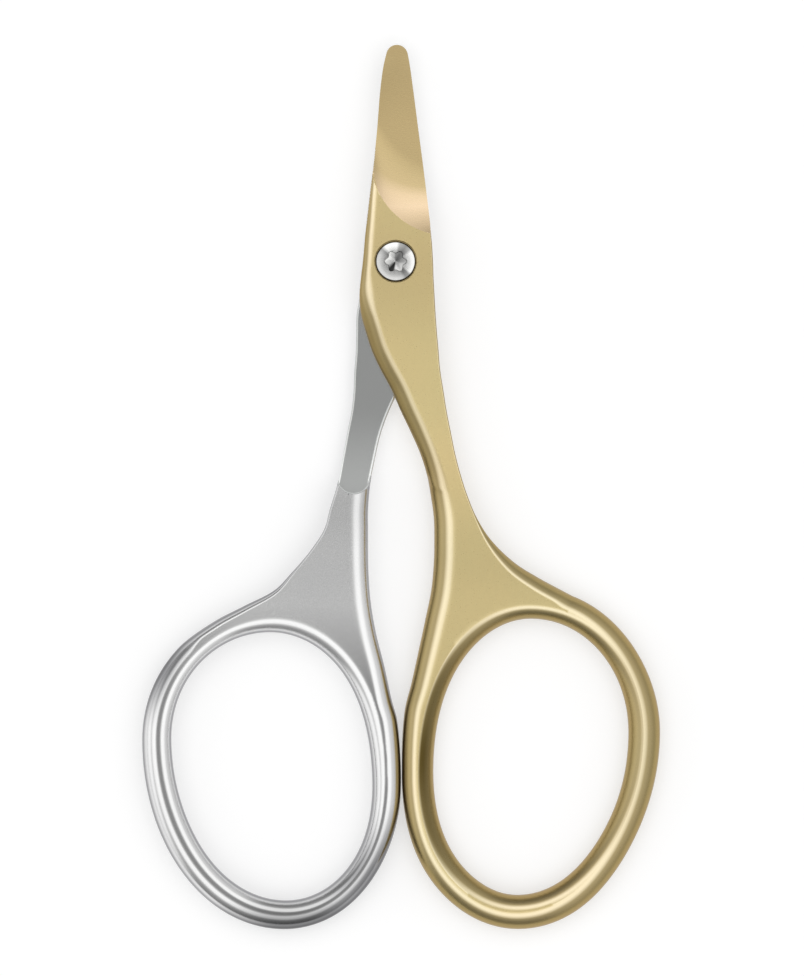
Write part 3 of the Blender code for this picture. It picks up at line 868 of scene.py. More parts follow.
    def lap_share(self, points: Array) -> Array:
        """Tells which points lie over the half lap.

        Args:
            points: Rows of x and y.

        Returns:
            1 over the half lap and 0 below its step.
        """
        centre_x, centre_y = self.step_centre
        across = points[:, 0] - centre_x
        down = np.minimum(points[:, 1] - centre_y, 0)
        reach = np.where(down < 0, np.hypot(across, down), 0)
        return 1 - ease(reach, self.step_radius - self.step_run / 2, self.step_radius + self.step_run / 2)

    @cached_property
    def step_centre(self) -> tuple[float, float]:
        """Finds the middle of the round step at the end of the half lap.

        Returns:
            Its x and y.
        """
        y = -self.lap_reach + self.step_radius
        ends = [split_at(self.side_path(side), y - self.step_radius / 2)[0][-1].x for side in Side]
        return sum(ends) / 2, y

    def arc_height(self, x: Array) -> Array:
        """Gives how far up the blade the ground face begins at places across it."""
        reach = np.minimum(np.abs(x - self.arc_centre.x), self.grind_radius)
        return self.arc_centre.y - np.sqrt(self.grind_radius ** 2 - reach ** 2)

    @cached_property
    def arc_ends(self) -> tuple[Vector, Vector]:
        """Gives where the arc of the ground face meets the two sides."""
        return (split_at(self.side_path(Side.INNER), self.grind_spine_reach)[0][-1],
                split_at(self.side_path(Side.OUTER), self.grind_edge_reach)[0][-1])

    @cached_property
    def arc_centre(self) -> Vector:
        """Finds the centre of the arc where the ground face begins.

        Returns:
            The centre.
        """
        left, right = self.arc_ends
        chord = right - left
        rise = math.sqrt(self.grind_radius ** 2 - (chord.length / 2) ** 2)
        return (left + right) / 2 + Vector((-chord.y, chord.x)).normalized() * rise

    def body_height(self, points: Array, sides: dict[Side, Array]) -> Array:
        """Gives how high the grinding of the blade leaves the outside.

        Args:
            points: Rows of x and y.
            sides: The two side paths as arrays.

        Returns:
            Heights over the middle plane.
        """
        run = np.where(points[:, 1] > self.grind_edge_reach,
                       points[:, 1] - self.arc_height(points[:, 0]), 0)
        top = self.blade_length - self.tip_radius
        y = np.minimum(points[:, 1], top)
        left, right = (across_at(sides[side], y) for side in Side)
        across = np.clip((points[:, 0] - left) / (right - left), 0, 1)
        spine = mix(self.spine_thickness, self.tip_thickness, ease(y, 0, top))
        thin = mix(spine, self.edge_thickness, across)
        remains = np.clip(1 - run / self.grind_run_out, 0, 1) ** 2
        ground = mix(thin, self.half_thickness, remains)
        return np.where(run > WELD, ground, self.half_thickness)

    # Skin

    def stations(self, side: Side, path: list[Vector], lead: Vector) -> Pairs:
        """Pairs each point of a side with the crest of its flank.

        Args:
            side: Which side.
            path: The side's points.
            lead: The point before the first.

        Returns:
            Pairs of edge point and crest point.
        """
        pairs = []
        for before, point, after in zip([lead] + path, path, path[1:]):
            run = (after - before).normalized()
            inward = Vector((run.y, -run.x)) * side.value
            pairs.append((point, point + inward * float(self.flank_width(side, np.array(point.y)))))
        return pairs

    def skin(self) -> BMesh:
        """Builds the closed skin of the half.

        Returns:
            The skin in the half's own frame, in millimetres.
        """
        plan = Plan(self)
        maker = bmesh.new()
        for sheet in [plan.sheet(layer) for layer in Layer]:
            mesh = bpy.data.meshes.new("sheet")
            sheet.to_mesh(mesh)
            sheet.free()
            maker.from_mesh(mesh)
            bpy.data.meshes.remove(mesh)
        bmesh.ops.remove_doubles(maker, verts=maker.verts, dist=WELD)
        self.bore(maker)
        bmesh.ops.recalc_face_normals(maker, faces=maker.faces)
        return maker

    def bore(self, maker: BMesh) -> None:
        """Joins the round mouths of the two sheets by the seat and bore walls.

        Args:
            maker: The skin, open at both mouths.
        """
        rims = [edge for edge in maker.edges if edge.is_boundary]
        upper = [edge for edge in rims if edge.verts[0].co.z > self.half_thickness / 2]
        lower = [edge for edge in rims if edge.verts[0].co.z < self.half_thickness / 2]
        levels = [(self.seat_radius, self.half_thickness - self.mouth_bevel),
                  (self.seat_radius, self.seat_floor), (self.bore_radius, self.seat_floor)]
        for radius, z in levels:
            verts, upper, _ = extruded(maker, upper)
            for vert in verts:
                flat = vert.co.to_2d().normalized() * radius
                vert.co = (flat.x, flat.y, z)
        bmesh.ops.bridge_loops(maker, edges=upper + lower)

    def make(self, pivot: Vector) -> Piece:
        """Builds and dresses the half, and hangs it on its body.

        Args:
            pivot: The pivot on the middle plane, in metres.

        Returns:
            The finished piece.
        """
        maker = self.skin()
        flag = maker.verts.layers.int[TOWARDS_HOLE]
        for edge in maker.edges:
            limit = self.RIDGE_ANGLE if self.on_ridge(edge, flag) else self.SHARP_ANGLE
            edge.smooth = edge.calc_face_angle(0) < math.radians(limit)
        self.crease_arc(maker)
        turn = Matrix.Rotation(math.pi if self.flipped else 0, 4, "Y")
        place = Matrix.Translation(pivot) @ turn @ Matrix.Scale(MM, 4)
        piece = finished(self.node + "_forging", maker, [finish.make() for finish in self.finishes], place)
        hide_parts(self.node)
        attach(piece, self.body)
        return piece

    @staticmethod
    def on_ridge(edge: bmesh.types.BMEdge, flag: bmesh.types.BMLayerItem) -> bool:
        """Tells whether an edge lies on the crest between the hole's flank and the rest.

        Args:
            edge: The edge.
            flag: The layer that marks the points of the hole's flank.

        Returns:
            True where it does.
        """
        if any(vert[flag] for vert in edge.verts):
            return False
        return sum(any(vert[flag] for vert in face.verts) for face in edge.link_faces) == 1

    def crease_arc(self, maker: BMesh) -> None:
        """Marks the crisp line where the ground face begins.

        Args:
            maker: The skin in its own frame.
        """
        near = [edge for edge in maker.edges
                if min(vert.co.y for vert in edge.verts) > self.grind_edge_reach - WELD
                and min(vert.co.z for vert in edge.verts) > self.lap_clearance]
        if not near:
            return
        ends = np.array([[vert.co.to_2d().to_tuple() for vert in edge.verts] for edge in near])
        off = np.abs(ends[..., 1] - self.arc_height(ends[..., 0])).max(1)
        for edge, gap in zip(near, off):
            if gap < self.ARC_GAP:
                edge.smooth = False


class Layer(Enum):
    """The two sheets of a half's skin."""

    OUTSIDE = "outside"
    LAP_SIDE = "lap side"


class Plan:
    """The plan view of a half, filled with triangles and raised to its two sheets.

    Shades rise or fall over shares of a flank's width. Run-outs are grids of points where the ground face
    cuts through a flank: the side, how far below and above the end of the face, the width and the gap.
    Rooms are shares of the fill's step that its points keep clear of an edge.
    """

    RIDGE_FADE = (-24, -33)
    HOLE_SHADE_RISE = (0, 0.7)
    RING_SHADE_FALL = (0.5, 1.1)
    INNER_SHADE_FALL = (0.88, 1)
    STEP_ANGLES = range(182, 359, 3)
    SIDE_GAP = 0.03
    MOUTH_ROOM = 1 / 2
    FLANK_ROOM = 1 / 3
    ARC_ROOM = 1 / 4
    CREST_ROW = 1 / 8
    CREST_ROW_ROOM = 1 / 10
    MOUTH_SHARE = math.cos(0.1)
    FILL_WELD = WELD / 10
    RUN_OUTS = ((Side.INNER, 5, 3, 1.3, 0.08), (Side.OUTER, 0.6, 0.8, 0.5, 0.05))

    def __init__(self, half: Forging) -> None:
        """Lays the borders of a half, as pairs of an edge point and a crest point.

        Args:
            half: The half.
        """
        self.half = half
        inner = with_point(half.side_path(Side.INNER), half.grind_spine_reach)
        outer = with_point(half.side_path(Side.OUTER), half.grind_edge_reach)
        tip = [(half.tip_point(angle), half.tip_point(angle, half.blade_rim)) for angle in half.tip_angles()]
        free = half.free_angles()
        whole = free + half.web_angles()
        ring = [(half.ring_edge(angle), half.crest(angle)) for angle in free]
        self.hole = [(half.ring_point(angle, 0), half.crest(angle)) for angle in whole]
        self.around = (half.stations(Side.INNER, inner, tip[-2][0]) + ring
                       + half.stations(Side.OUTER, outer, tip[1][0])[::-1] + tip[1:-1])
        self.sides = {Side.INNER: rows_of(inner), Side.OUTER: rows_of(outer)}
        reach = {side: half.flank_width(side, rows[:, 1]) for side, rows in self.sides.items()}
        inner_powers = falling(self.sides[Side.INNER][:, 1], half.inner_powers)
        fade = ease(self.sides[Side.OUTER][:, 1], *self.RIDGE_FADE)
        tilts = [half.ridge_tilt * half.far_share(angle) for angle in free]
        closed = whole + free[:1]
        hole_tilts = [half.hole_tilt(angle) for angle in closed]
        hole_powers = [mix(2, half.hole_power, half.far_share(angle)) for angle in closed]
        self.borders = [Border(inner, reach[Side.INNER], 0, inner_powers),
                        Border(outer, reach[Side.OUTER], tilts[-1] * fade),
                        self.border(ring, tilts, 2),
                        self.border(self.hole + self.hole[:1], hole_tilts, hole_powers)]
        self.tip = Border([edge for edge, crest in tip], half.blade_rim, 0)
        self.points: list[Vector] = []
        self.lines: list[tuple[int, int]] = []

    @staticmethod
    def border(pairs: Pairs, tilts: list[float], powers: Measure | list[float]) -> Border:
        """Makes a border from pairs of edge and crest points, with the lean and fullness at each."""
        widths = [(edge - crest).length for edge, crest in pairs]
        return Border([edge for edge, crest in pairs], widths, tilts, powers)

    def add_band(self, pairs: Pairs) -> range:
        """Adds closed lines side by side from the edge to the crest of a flank.

        Args:
            pairs: Pairs of edge point and crest point.

        Returns:
            The places of the edge's points.
        """
        start = len(self.points)
        count = len(pairs)
        for level in range(self.half.FLANK_STEPS + 1):
            share = 1 - math.cos(math.pi / 2 * level / self.half.FLANK_STEPS)
            first = len(self.points)
            self.points += [edge.lerp(crest, share) for edge, crest in pairs]
            if level in (0, self.half.FLANK_STEPS):
                self.lines += [(first + index, first + (index + 1) % count) for index in range(count)]
        return range(start, start + count)

    def add_circle(self, radius: float) -> None:
        """Adds a closed circle round the pivot.

        Args:
            radius: Its radius.
        """
        first = len(self.points)
        count = self.half.ROUND_STEPS
        centre = Vector((0, 0))
        self.points += [polar(centre, radius, 360 * step / count) for step in range(count)]
        self.lines += [(first + step, first + (step + 1) % count) for step in range(count)]

    def add_ground_rows(self) -> None:
        """Adds the arc of the ground face and rows of points up the blade."""
        half = self.half
        left, right = half.arc_ends
        shares = even_shares(half.ARC_STEPS)
        first = len(self.points)
        x = np.array([mix(left.x, right.x, share) for share in shares[1:-1]])
        arc = [Vector(place) for place in zip(x, half.arc_height(x))]
        self.points += [left] + arc + [right]
        self.lines += [(first + index, first + index + 1) for index in range(len(shares) - 1)]
        inner, outer = (self.sides[side] for side in Side)
        top = half.blade_length - half.tip_radius
        for row in range(1, half.GROUND_ROWS):
            run = (top - half.grind_edge_reach) * row / half.GROUND_ROWS
            spine = across_at(inner, min(half.grind_spine_reach + run, top)) + 2 * half.blade_rim
            edge = across_at(outer, half.grind_edge_reach + run) - 2 * half.blade_rim
            x = np.linspace(spine, edge, len(shares))
            y = half.arc_height(x) + run
            self.points += [Vector(place) for place in zip(x, y) if place[1] < top]

    def add_run_out(self, side: Side, below: float, above: float, width: float, gap: float) -> None:
        """Adds a fine grid of points where the ground face cuts through a flank.

        Args:
            side: Which side's flank.
            below: How far the grid reaches below the end of the face.
            above: How far it reaches above that end.
            width: How far in from the side it reaches.
            gap: Distance between its points.
        """
        end = self.half.grind_spine_reach if side is Side.INNER else self.half.grind_edge_reach
        for y in np.arange(end - below, end + above, gap):
            start = across_at(self.sides[side], y)
            self.points += [Vector((start - side.value * across, y))
                            for across in np.arange(gap, width, gap)]

    def add_step_rows(self) -> None:
        """Adds rows of points along the round step at the end of the half lap."""
        half = self.half
        centre = Vector(half.step_centre)
        for share in even_shares(half.LAP_STEP_ROWS):
            radius = half.step_radius + half.step_run * (share - 0.5)
            self.points += self.kept([polar(centre, radius, angle) for angle in self.STEP_ANGLES])

    def add_fill(self, layer: Layer, mouth: float) -> None:
        """Adds a grid of points over the flats, and a row close beside every crest.

        Args:
            layer: Which sheet.
            mouth: Radius of the round mouth at the pivot.
        """
        half = self.half
        step = half.FILL_STEP
        outline, hole = ([edge for edge, crest in pairs] for pairs in (self.around, self.hole))
        low, high = rows_of(outline).min(0), rows_of(outline).max(0)
        grid = np.array(np.meshgrid(np.arange(low[0], high[0], step),
                                    np.arange(low[1], half.grind_spine_reach, step)))
        rows = grid.reshape(2, -1).T
        rows = rows[enclosed(rows, outline) & ~enclosed(rows, hole)]
        rows = rows[np.hypot(*rows.T) > mouth + step * self.MOUTH_ROOM]
        crests = rows_of([crest + (crest - edge).normalized() * step * self.CREST_ROW
                          for edge, crest in self.around])
        crests = crests[np.hypot(*crests.T) > mouth + step * self.CREST_ROW_ROOM]
        for border in self.borders:
            rows = rows[border.clear(rows, step * self.FLANK_ROOM)]
            crests = crests[border.clear(crests, step * self.CREST_ROW_ROOM)]
        rows = np.concatenate([rows, crests])
        if layer is Layer.OUTSIDE:
            rows = rows[rows[:, 1] < half.arc_height(rows[:, 0]) - step * self.ARC_ROOM]
        self.points += [Vector(row) for row in rows]

    def kept(self, points: list[Vector]) -> list[Vector]:
        """Keeps the points that lie between the two sides, clear of both.

        Args:
            points: The points to choose from.

        Returns:
            The points kept.
        """
        rows = rows_of(points)
        left, right = (across_at(self.sides[side], rows[:, 1]) for side in Side)
        inside = (rows[:, 0] > left + self.SIDE_GAP) & (rows[:, 0] < right - self.SIDE_GAP)
        return [point for point, keep in zip(points, inside) if keep]

    def rim(self, joint: float, points: Array) -> Array:
        """Gives a measure of the lap face's rim, from the joint's own to the blade's."""
        half = self.half
        return mix(joint, half.blade_rim, ease(points[:, 1], half.grind_edge_reach, half.grind_spine_reach))

    def share(self, points: Array, rim: bool) -> Array:
        """Gives the height share of the flanks, 0 on the outline and 1 inside.

        Args:
            points: Rows of x and y.
            rim: True for the narrow rim of the lap face, in place of the flanks.

        Returns:
            The shares.
        """
        rim_width = self.rim(self.half.joint_rim_width, points) if rim else None
        shares = [self.tip.share(points)]
        shares += [border.share(points, rim_width) for border in self.borders[:2]]
        shares += [border.share(points) for border in self.borders[2:]]
        return np.min(shares, 0)

    def shade(self, points: Array, in_hole: Array) -> Array:
        """Gives the painted shade, how far the metal's colour is darkened, on parts of the ring and along
        the inner flank.

        Args:
            points: Rows of x and y.
            in_hole: True for each point on the flank towards the finger hole.

        Returns:
            The shade, 0 to 1.
        """
        half = self.half
        offset = points - (half.hole_centre, -half.shank_length - half.hole_height / 2)
        turn = np.degrees(np.arctan2(offset[:, 1], offset[:, 0]))
        flank, side, ring, wall = (border.depth(points) for border in self.borders)
        hole_shade = in_hole * falling(turn, half.hole_shade) * ease(wall, *self.HOLE_SHADE_RISE)
        ring_fall = 1 - ease(np.minimum(side, ring), *self.RING_SHADE_FALL)
        ring_shade = (1 - in_hole) * falling(turn, half.ring_shade) * ring_fall
        inner_fall = 1 - ease(flank, *self.INNER_SHADE_FALL)
        return np.max([hole_shade, ring_shade, falling(points[:, 1], half.inner_shade) * inner_fall], 0)

    @staticmethod
    def beside(border: Border, points: Array, edge: Array) -> Array:
        """Tells which points off the outline lie as near to a border as its flank is wide."""
        return ~edge & (border.nearest(points)[0] < border.widths.max())

    def heights(self, points: Array, layer: Layer, edge: Array) -> Array:
        """Gives the height of a sheet over the middle plane.

        Args:
            points: Rows of x and y.
            layer: Which sheet.
            edge: True for points on the outline.

        Returns:
            The heights.
        """
        half = self.half
        lap = half.lap_share(points)
        seam = half.lap_clearance / 2 + self.rim(half.joint_rim, points)
        share = np.where(edge, 0, self.share(points, False))
        outer_foot = half.half_thickness - falling(points[:, 1], half.outer_depths)
        outer_foot = np.where(self.beside(self.borders[1], points, edge), outer_foot, 0)
        if layer is Layer.OUTSIDE:
            near = self.beside(self.borders[0], points, edge)
            foot = np.maximum(seam * lap, outer_foot)
            foot = np.where(near, np.maximum(foot, half.inner_floor(points[:, 1])), foot)
            return np.minimum(mix(foot, half.half_thickness, share), half.body_height(points, self.sides))
        lap_share = np.where(edge, 0, self.share(points, True))
        under = -mix(outer_foot, half.half_thickness, share)
        return mix(under, mix(seam, half.lap_clearance / 2, lap_share), lap)

    def sheet(self, layer: Layer) -> BMesh:
        """Fills the plan and raises it to one sheet of the skin.

        Args:
            layer: Which sheet.

        Returns:
            The sheet, open along the outline and at the mouth of the bore.
        """
        half = self.half
        self.points, self.lines = [], []
        borders = set(self.add_band(self.around))
        hole_edge = set(self.add_band(self.hole))
        hole_flank = set(range(min(hole_edge), len(self.points) - len(self.hole)))
        mouth = half.seat_radius + half.mouth_bevel if layer is Layer.OUTSIDE else half.bore_radius
        self.add_circle(mouth)
        self.add_fill(layer, mouth)
        if layer is Layer.OUTSIDE:
            self.add_ground_rows()
            for run_out in self.RUN_OUTS:
                self.add_run_out(*run_out)
        else:
            self.add_step_rows()
        filled = delaunay_2d_cdt(self.points, self.lines, [], 1, self.FILL_WELD)
        rows = rows_of(filled[0])
        on_edge, in_hole, on_flank = (np.array([not places.isdisjoint(source) for source in filled[3]])
                                      for places in (borders | hole_edge, hole_edge, hole_flank))
        z = self.heights(rows, layer, on_edge)
        maker = bmesh.new()
        shade = maker.verts.layers.float.new(SHADE)
        towards_hole = maker.verts.layers.int.new(TOWARDS_HOLE)
        verts = [maker.verts.new((x, y, height)) for (x, y), height in zip(rows, z)]
        for vert, inside, value in zip(verts, on_flank.tolist(), self.shade(rows, on_flank).tolist()):
            vert[towards_hole] = int(inside)
            vert[shade] = value
        faces = np.array(filled[2])
        middles = rows[faces].mean(1)
        kept = ~in_hole[faces].all(1) & (np.hypot(*middles.T) > mouth * self.MOUTH_SHARE)
        kinds = self.face_kinds(middles, layer)
        for face, kind in zip(faces[kept].tolist(), kinds[kept].tolist()):
            maker.faces.new([verts[index] for index in face]).material_index = kind
        return maker

    def face_kinds(self, middles: Array, layer: Layer) -> Array:
        """Tells which surfaces faces belong to.

        Args:
            middles: The faces' middles in the plan.
            layer: Which sheet they are on.

        Returns:
            The material slot of each.
        """
        half = self.half
        if layer is Layer.LAP_SIDE:
            return np.where(half.lap_share(middles) > 0.5, Face.LAP.value, Face.BODY.value)
        ground = (middles[:, 1] > half.grind_edge_reach) & (middles[:, 1] > half.arc_height(middles[:, 0]))
        return np.where(ground, Face.GROUND.value, Face.BODY.value)


def extruded(maker: BMesh, loop: list) -> tuple[list, ...]:
    """Extrudes a loop of edges.

    Args:
        maker: The bmesh.
        loop: The edges.

    Returns:
        The new points, edges and faces.
    """
    new = bmesh.ops.extrude_edge_only(maker, edges=loop)["geom"]
    kinds = (bmesh.types.BMVert, bmesh.types.BMEdge, bmesh.types.BMFace)
    return tuple([item for item in new if isinstance(item, kind)] for kind in kinds)


def finished(name: str, maker: BMesh, finishes: list[bpy.types.Material], place: Matrix) -> Piece:
    """Makes an object at the origin from a bmesh.

    Args:
        name: The piece's name.
        maker: The bmesh.
        finishes: Its materials in the order of its slots.
        place: What brings the bmesh to its place in metres.

    Returns:
        The object, linked to the scene.
    """
    bmesh.ops.transform(maker, matrix=place, verts=maker.verts)
    mesh = bpy.data.meshes.new(name)
    maker.to_mesh(mesh)
    maker.free()
    for polygon in mesh.polygons:
        polygon.use_smooth = True
    for finish in finishes:
        mesh.materials.append(finish)
    piece = bpy.data.objects.new(name, mesh)
    bpy.context.scene.collection.objects.link(piece)
    return piece


# Turned pieces

def turned(profile: list[tuple[float, float]], closed: bool, steps: int) -> BMesh:
    """Spins a profile about the pivot axis.

    Args:
        profile: Radius and height of each point, in millimetres.
        closed: True where the profile's last point joins its first.
        steps: Steps of the full turn.

    Returns:
        The turned skin in millimetres.
    """
    maker = bmesh.new()
    verts = [maker.verts.new((radius, 0, height)) for radius, height in profile]
    edges = [maker.edges.new(pair) for pair in zip(verts, verts[1:])]
    if closed:
        edges.append(maker.edges.new((verts[-1], verts[0])))
    bmesh.ops.spin(maker, geom=verts + edges, axis=(0, 0, 1), cent=(0, 0, 0), dvec=(0, 0, 0),
                   angle=math.tau, steps=steps, use_merge=True)
    bmesh.ops.remove_doubles(maker, verts=maker.verts, dist=WELD)
    return maker


@dataclass(frozen=True)
class PivotScrew:
    """The screw that holds the halves together, with a low head and a lobed recess."""

    node: str = "pivot_screw"
    body: str = "rear"
    slot: str = "screw_steel"
    top: float = 1.70
    head_radius: float = 2.0
    head_thickness: float = 0.75
    head_drop: float = 0.11
    rim_bevel: float = 0.16
    bevel_steps: int = 5
    recess_radius: float = 1.1
    recess_depth: float = 0.5
    recess_lip: float = 0.05
    lobes: int = 6
    lobe_depth_share: float = 0.24
    stem_radius: float = 1.2
    stem_end: float = -1.45
    end_bevel: float = 0.2
    steps: int = 144
    sharp_angle: float = 30
    mouth_lips: int = 2
    middle_lips: int = 3

    def lobed(self, radius: float, angle: float) -> float:
        """Gives the radius of the lobed outline at an angle."""
        wave = (1 - math.cos(self.lobes * angle)) / 2
        return radius * (1 - self.lobe_depth_share * wave)

    def make(self, pivot: Vector) -> Piece:
        """Builds and dresses the screw, and hangs it on its body.

        Args:
            pivot: The pivot on the middle plane, in metres.

        Returns:
            The finished piece.
        """
        rim, crest = self.head_radius - self.rim_bevel, self.top - self.head_drop
        turns = [math.pi / 2 * share for share in even_shares(self.bevel_steps)]
        under = self.top - self.head_thickness
        profile = [(self.recess_radius + self.recess_lip * self.mouth_lips, self.top)]
        profile += [(rim + self.rim_bevel * math.sin(turn), crest - self.rim_bevel * (1 - math.cos(turn)))
                    for turn in turns]
        profile += [(self.head_radius, under), (self.stem_radius, under),
                    (self.stem_radius, self.stem_end + self.end_bevel),
                    (self.stem_radius - self.end_bevel, self.stem_end), (0, self.stem_end)]
        maker = turned(profile, False, self.steps)
        self.sink_recess(maker)
        bmesh.ops.recalc_face_normals(maker, faces=maker.faces)
        for edge in maker.edges:
            edge.smooth = edge.calc_face_angle(0) < math.radians(self.sharp_angle)
        place = Matrix.Translation(pivot) @ Matrix.Scale(MM, 4)
        finishes = [SCREW_FACE.make(pivot), SCREW_RECESS.make(pivot)]
        piece = finished("pivot_screw_turned", maker, finishes, place)
        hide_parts(self.node)
        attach(piece, self.body)
        return piece

    def sink_recess(self, maker: BMesh) -> None:
        """Sinks the lobed recess from the open middle of the head's face.

        Args:
            maker: The turned screw, open at the middle of its head.
        """
        loop = [edge for edge in maker.edges if edge.is_boundary]
        levels = [(self.recess_radius + self.recess_lip, self.top),
                  (self.recess_radius, self.top - self.recess_lip),
                  (self.recess_radius - self.recess_lip, self.top - self.recess_depth)]
        for radius, z in levels:
            verts, loop, faces = extruded(maker, loop)
            for face in faces:
                face.material_index = int(z < self.top)
            for vert in verts:
                angle = math.atan2(vert.co.y, vert.co.x)
                reach = self.lobed(radius, angle)
                vert.co = (reach * math.cos(angle), reach * math.sin(angle), z)
        inner, _, faces = extruded(maker, loop)
        for face in faces:
            face.material_index = 1
        for vert in inner:
            vert.co = (0, 0, self.top - self.recess_depth - self.recess_lip * self.middle_lips)
        bmesh.ops.remove_doubles(maker, verts=inner, dist=WELD)


@dataclass(frozen=True)
class BearingWasher:
    """The thin dark washer that the screw's head bears on."""

    node: str = "pivot_washer"
    body: str = "front"
    slot: str = "washer"
    top: float = 0.89
    thickness: float = 0.30
    outer_radius: float = 2.05
    inner_radius: float = 1.28
    bevel: float = 0.05
    steps: int = 96
    corner_angle: float = 60
    bevel_segments: int = 3
    bevel_roundness: float = 0.5

    def make(self, pivot: Vector) -> Piece:
        """Builds and dresses the washer, and hangs it on its body.

        Args:
            pivot: The pivot on the middle plane, in metres.

        Returns:
            The finished piece.
        """
        bottom = self.top - self.thickness
        profile = [(self.inner_radius, self.top), (self.outer_radius, self.top),
                   (self.outer_radius, bottom), (self.inner_radius, bottom)]
        maker = turned(profile, True, self.steps)
        bmesh.ops.recalc_face_normals(maker, faces=maker.faces)
        corners = [edge for edge in maker.edges if edge.calc_face_angle(0) > math.radians(self.corner_angle)]
        bmesh.ops.bevel(maker, geom=corners, offset=self.bevel, offset_type="OFFSET",
                        segments=self.bevel_segments, profile=self.bevel_roundness, affect="EDGES",
                        material=-1)
        place = Matrix.Translation(pivot) @ Matrix.Scale(MM, 4)
        piece = finished("bearing_washer", maker, [DarkPolymer().make()], place)
        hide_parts(self.node)
        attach(piece, self.body)
        return piece


# Studio

@dataclass(frozen=True)
class LightTent:
    """A light tent as the world: bright cloth with a darker opening above and dim cloth low down.

    The levels are grey at places from 0 straight down to 1 straight up. The two sides take over from the
    ends between two places across.
    """

    strength: float = 1.0
    foot: Places = ((0.0, 0.9), (0.06, 0.9))
    crown: Places = ((0.957, 1.2), (0.988, 0.42))
    ends: Places = ((0.1, 0.2), (0.4, 0.3), (0.62, 0.45), (0.78, 1.2))
    left: Places = ((0.1, 0.9), (0.4, 1.2))
    right: Places = ((0.1, 0.6), (0.3, 0.6), (0.4, 0.75), (0.62, 0.78), (0.82, 1.2))
    left_turn: tuple[float, float] = (-0.68, -0.88)
    right_turn: tuple[float, float] = (0.2, 0.5)

    def make(self) -> None:
        """Builds the world."""
        world = bpy.data.worlds.new("Light tent")
        bpy.context.scene.world = world
        world.use_nodes = True
        bench = NodeBench(world.node_tree)
        across, upward = (bench.part("Generated", axis) for axis in "XZ")
        ends, left, right = (bench.ramp(upward, greys(self.foot + levels + self.crown), "EASE")
                             for levels in (self.ends, self.left, self.right))
        colour = ends
        for (start, end), side in ((self.left_turn, left), (self.right_turn, right)):
            turn = bench.add("ShaderNodeMapRange", {"Value": across, "From Min": start, "From Max": end},
                             interpolation_type="SMOOTHSTEP")
            colour = bench.blend(turn.outputs["Result"], colour, side)
        bench.feed(bench.tree.nodes["Background"], {"Strength": self.strength, "Color": colour})


@dataclass(frozen=True)
class Table:
    """The plain pale floor."""

    half_width: float = 4.0
    drop: float = 0.00002
    colour: Colour = (0.6, 0.6, 0.6)
    roughness: float = 0.9
    glow: float = 0.51

    def make(self) -> Piece:
        """Builds the floor.

        Returns:
            The floor.
        """
        maker = bmesh.new()
        bmesh.ops.create_grid(maker, x_segments=1, y_segments=1, size=self.half_width)
        bench = MaterialBench("Pale floor")
        rays = bench.add("ShaderNodeLightPath").outputs
        seen = rays["Is Camera Ray"]
        for name in ("Is Glossy Ray", "Is Transmission Ray"):
            seen = bench.reckon("MAXIMUM", seen, rays[name])
        pale = bench.finish({"Roughness": self.roughness, "Specular IOR Level": 0,
                             "Base Color": self.colour, "Emission Color": WHITE,
                             "Emission Strength": bench.reckon("MULTIPLY", seen, self.glow)})
        floor = finished("floor", maker, [pale], Matrix.Translation((0, 0, -self.drop)))
        return floor


@dataclass(frozen=True)
class PhotoCamera:
    """The photograph's straight-down view."""

    picture_width: int = 804
    picture_height: int = 976
    pixel: float = 0.10169
    pivot_pixel: tuple[float, float] = (395.65, 261.65)
    distance: float = 1000.0
    sensor: float = 36.0
    clip_end: float = 20.0

    def make(self, pivot: Vector) -> Piece:
        """Builds the camera over the point at the middle of the picture.

        Args:
            pivot: The pivot on the middle plane, in metres.

        Returns:
            The camera.
        """
        data = bpy.data.cameras.new("Camera")
        data.sensor_width = self.sensor
        data.lens = self.sensor * self.distance / (self.picture_height * self.pixel)
        data.clip_end = self.clip_end
        camera = bpy.data.objects.new("Camera", data)
        right = (self.picture_width / 2 - self.pivot_pixel[0]) * self.pixel * MM
        down = (self.picture_height / 2 - self.pivot_pixel[1]) * self.pixel * MM
        camera.location = pivot + Vector((right, -down, self.distance * MM))
        bpy.context.scene.collection.objects.link(camera)
        bpy.context.scene.camera = camera
        return camera


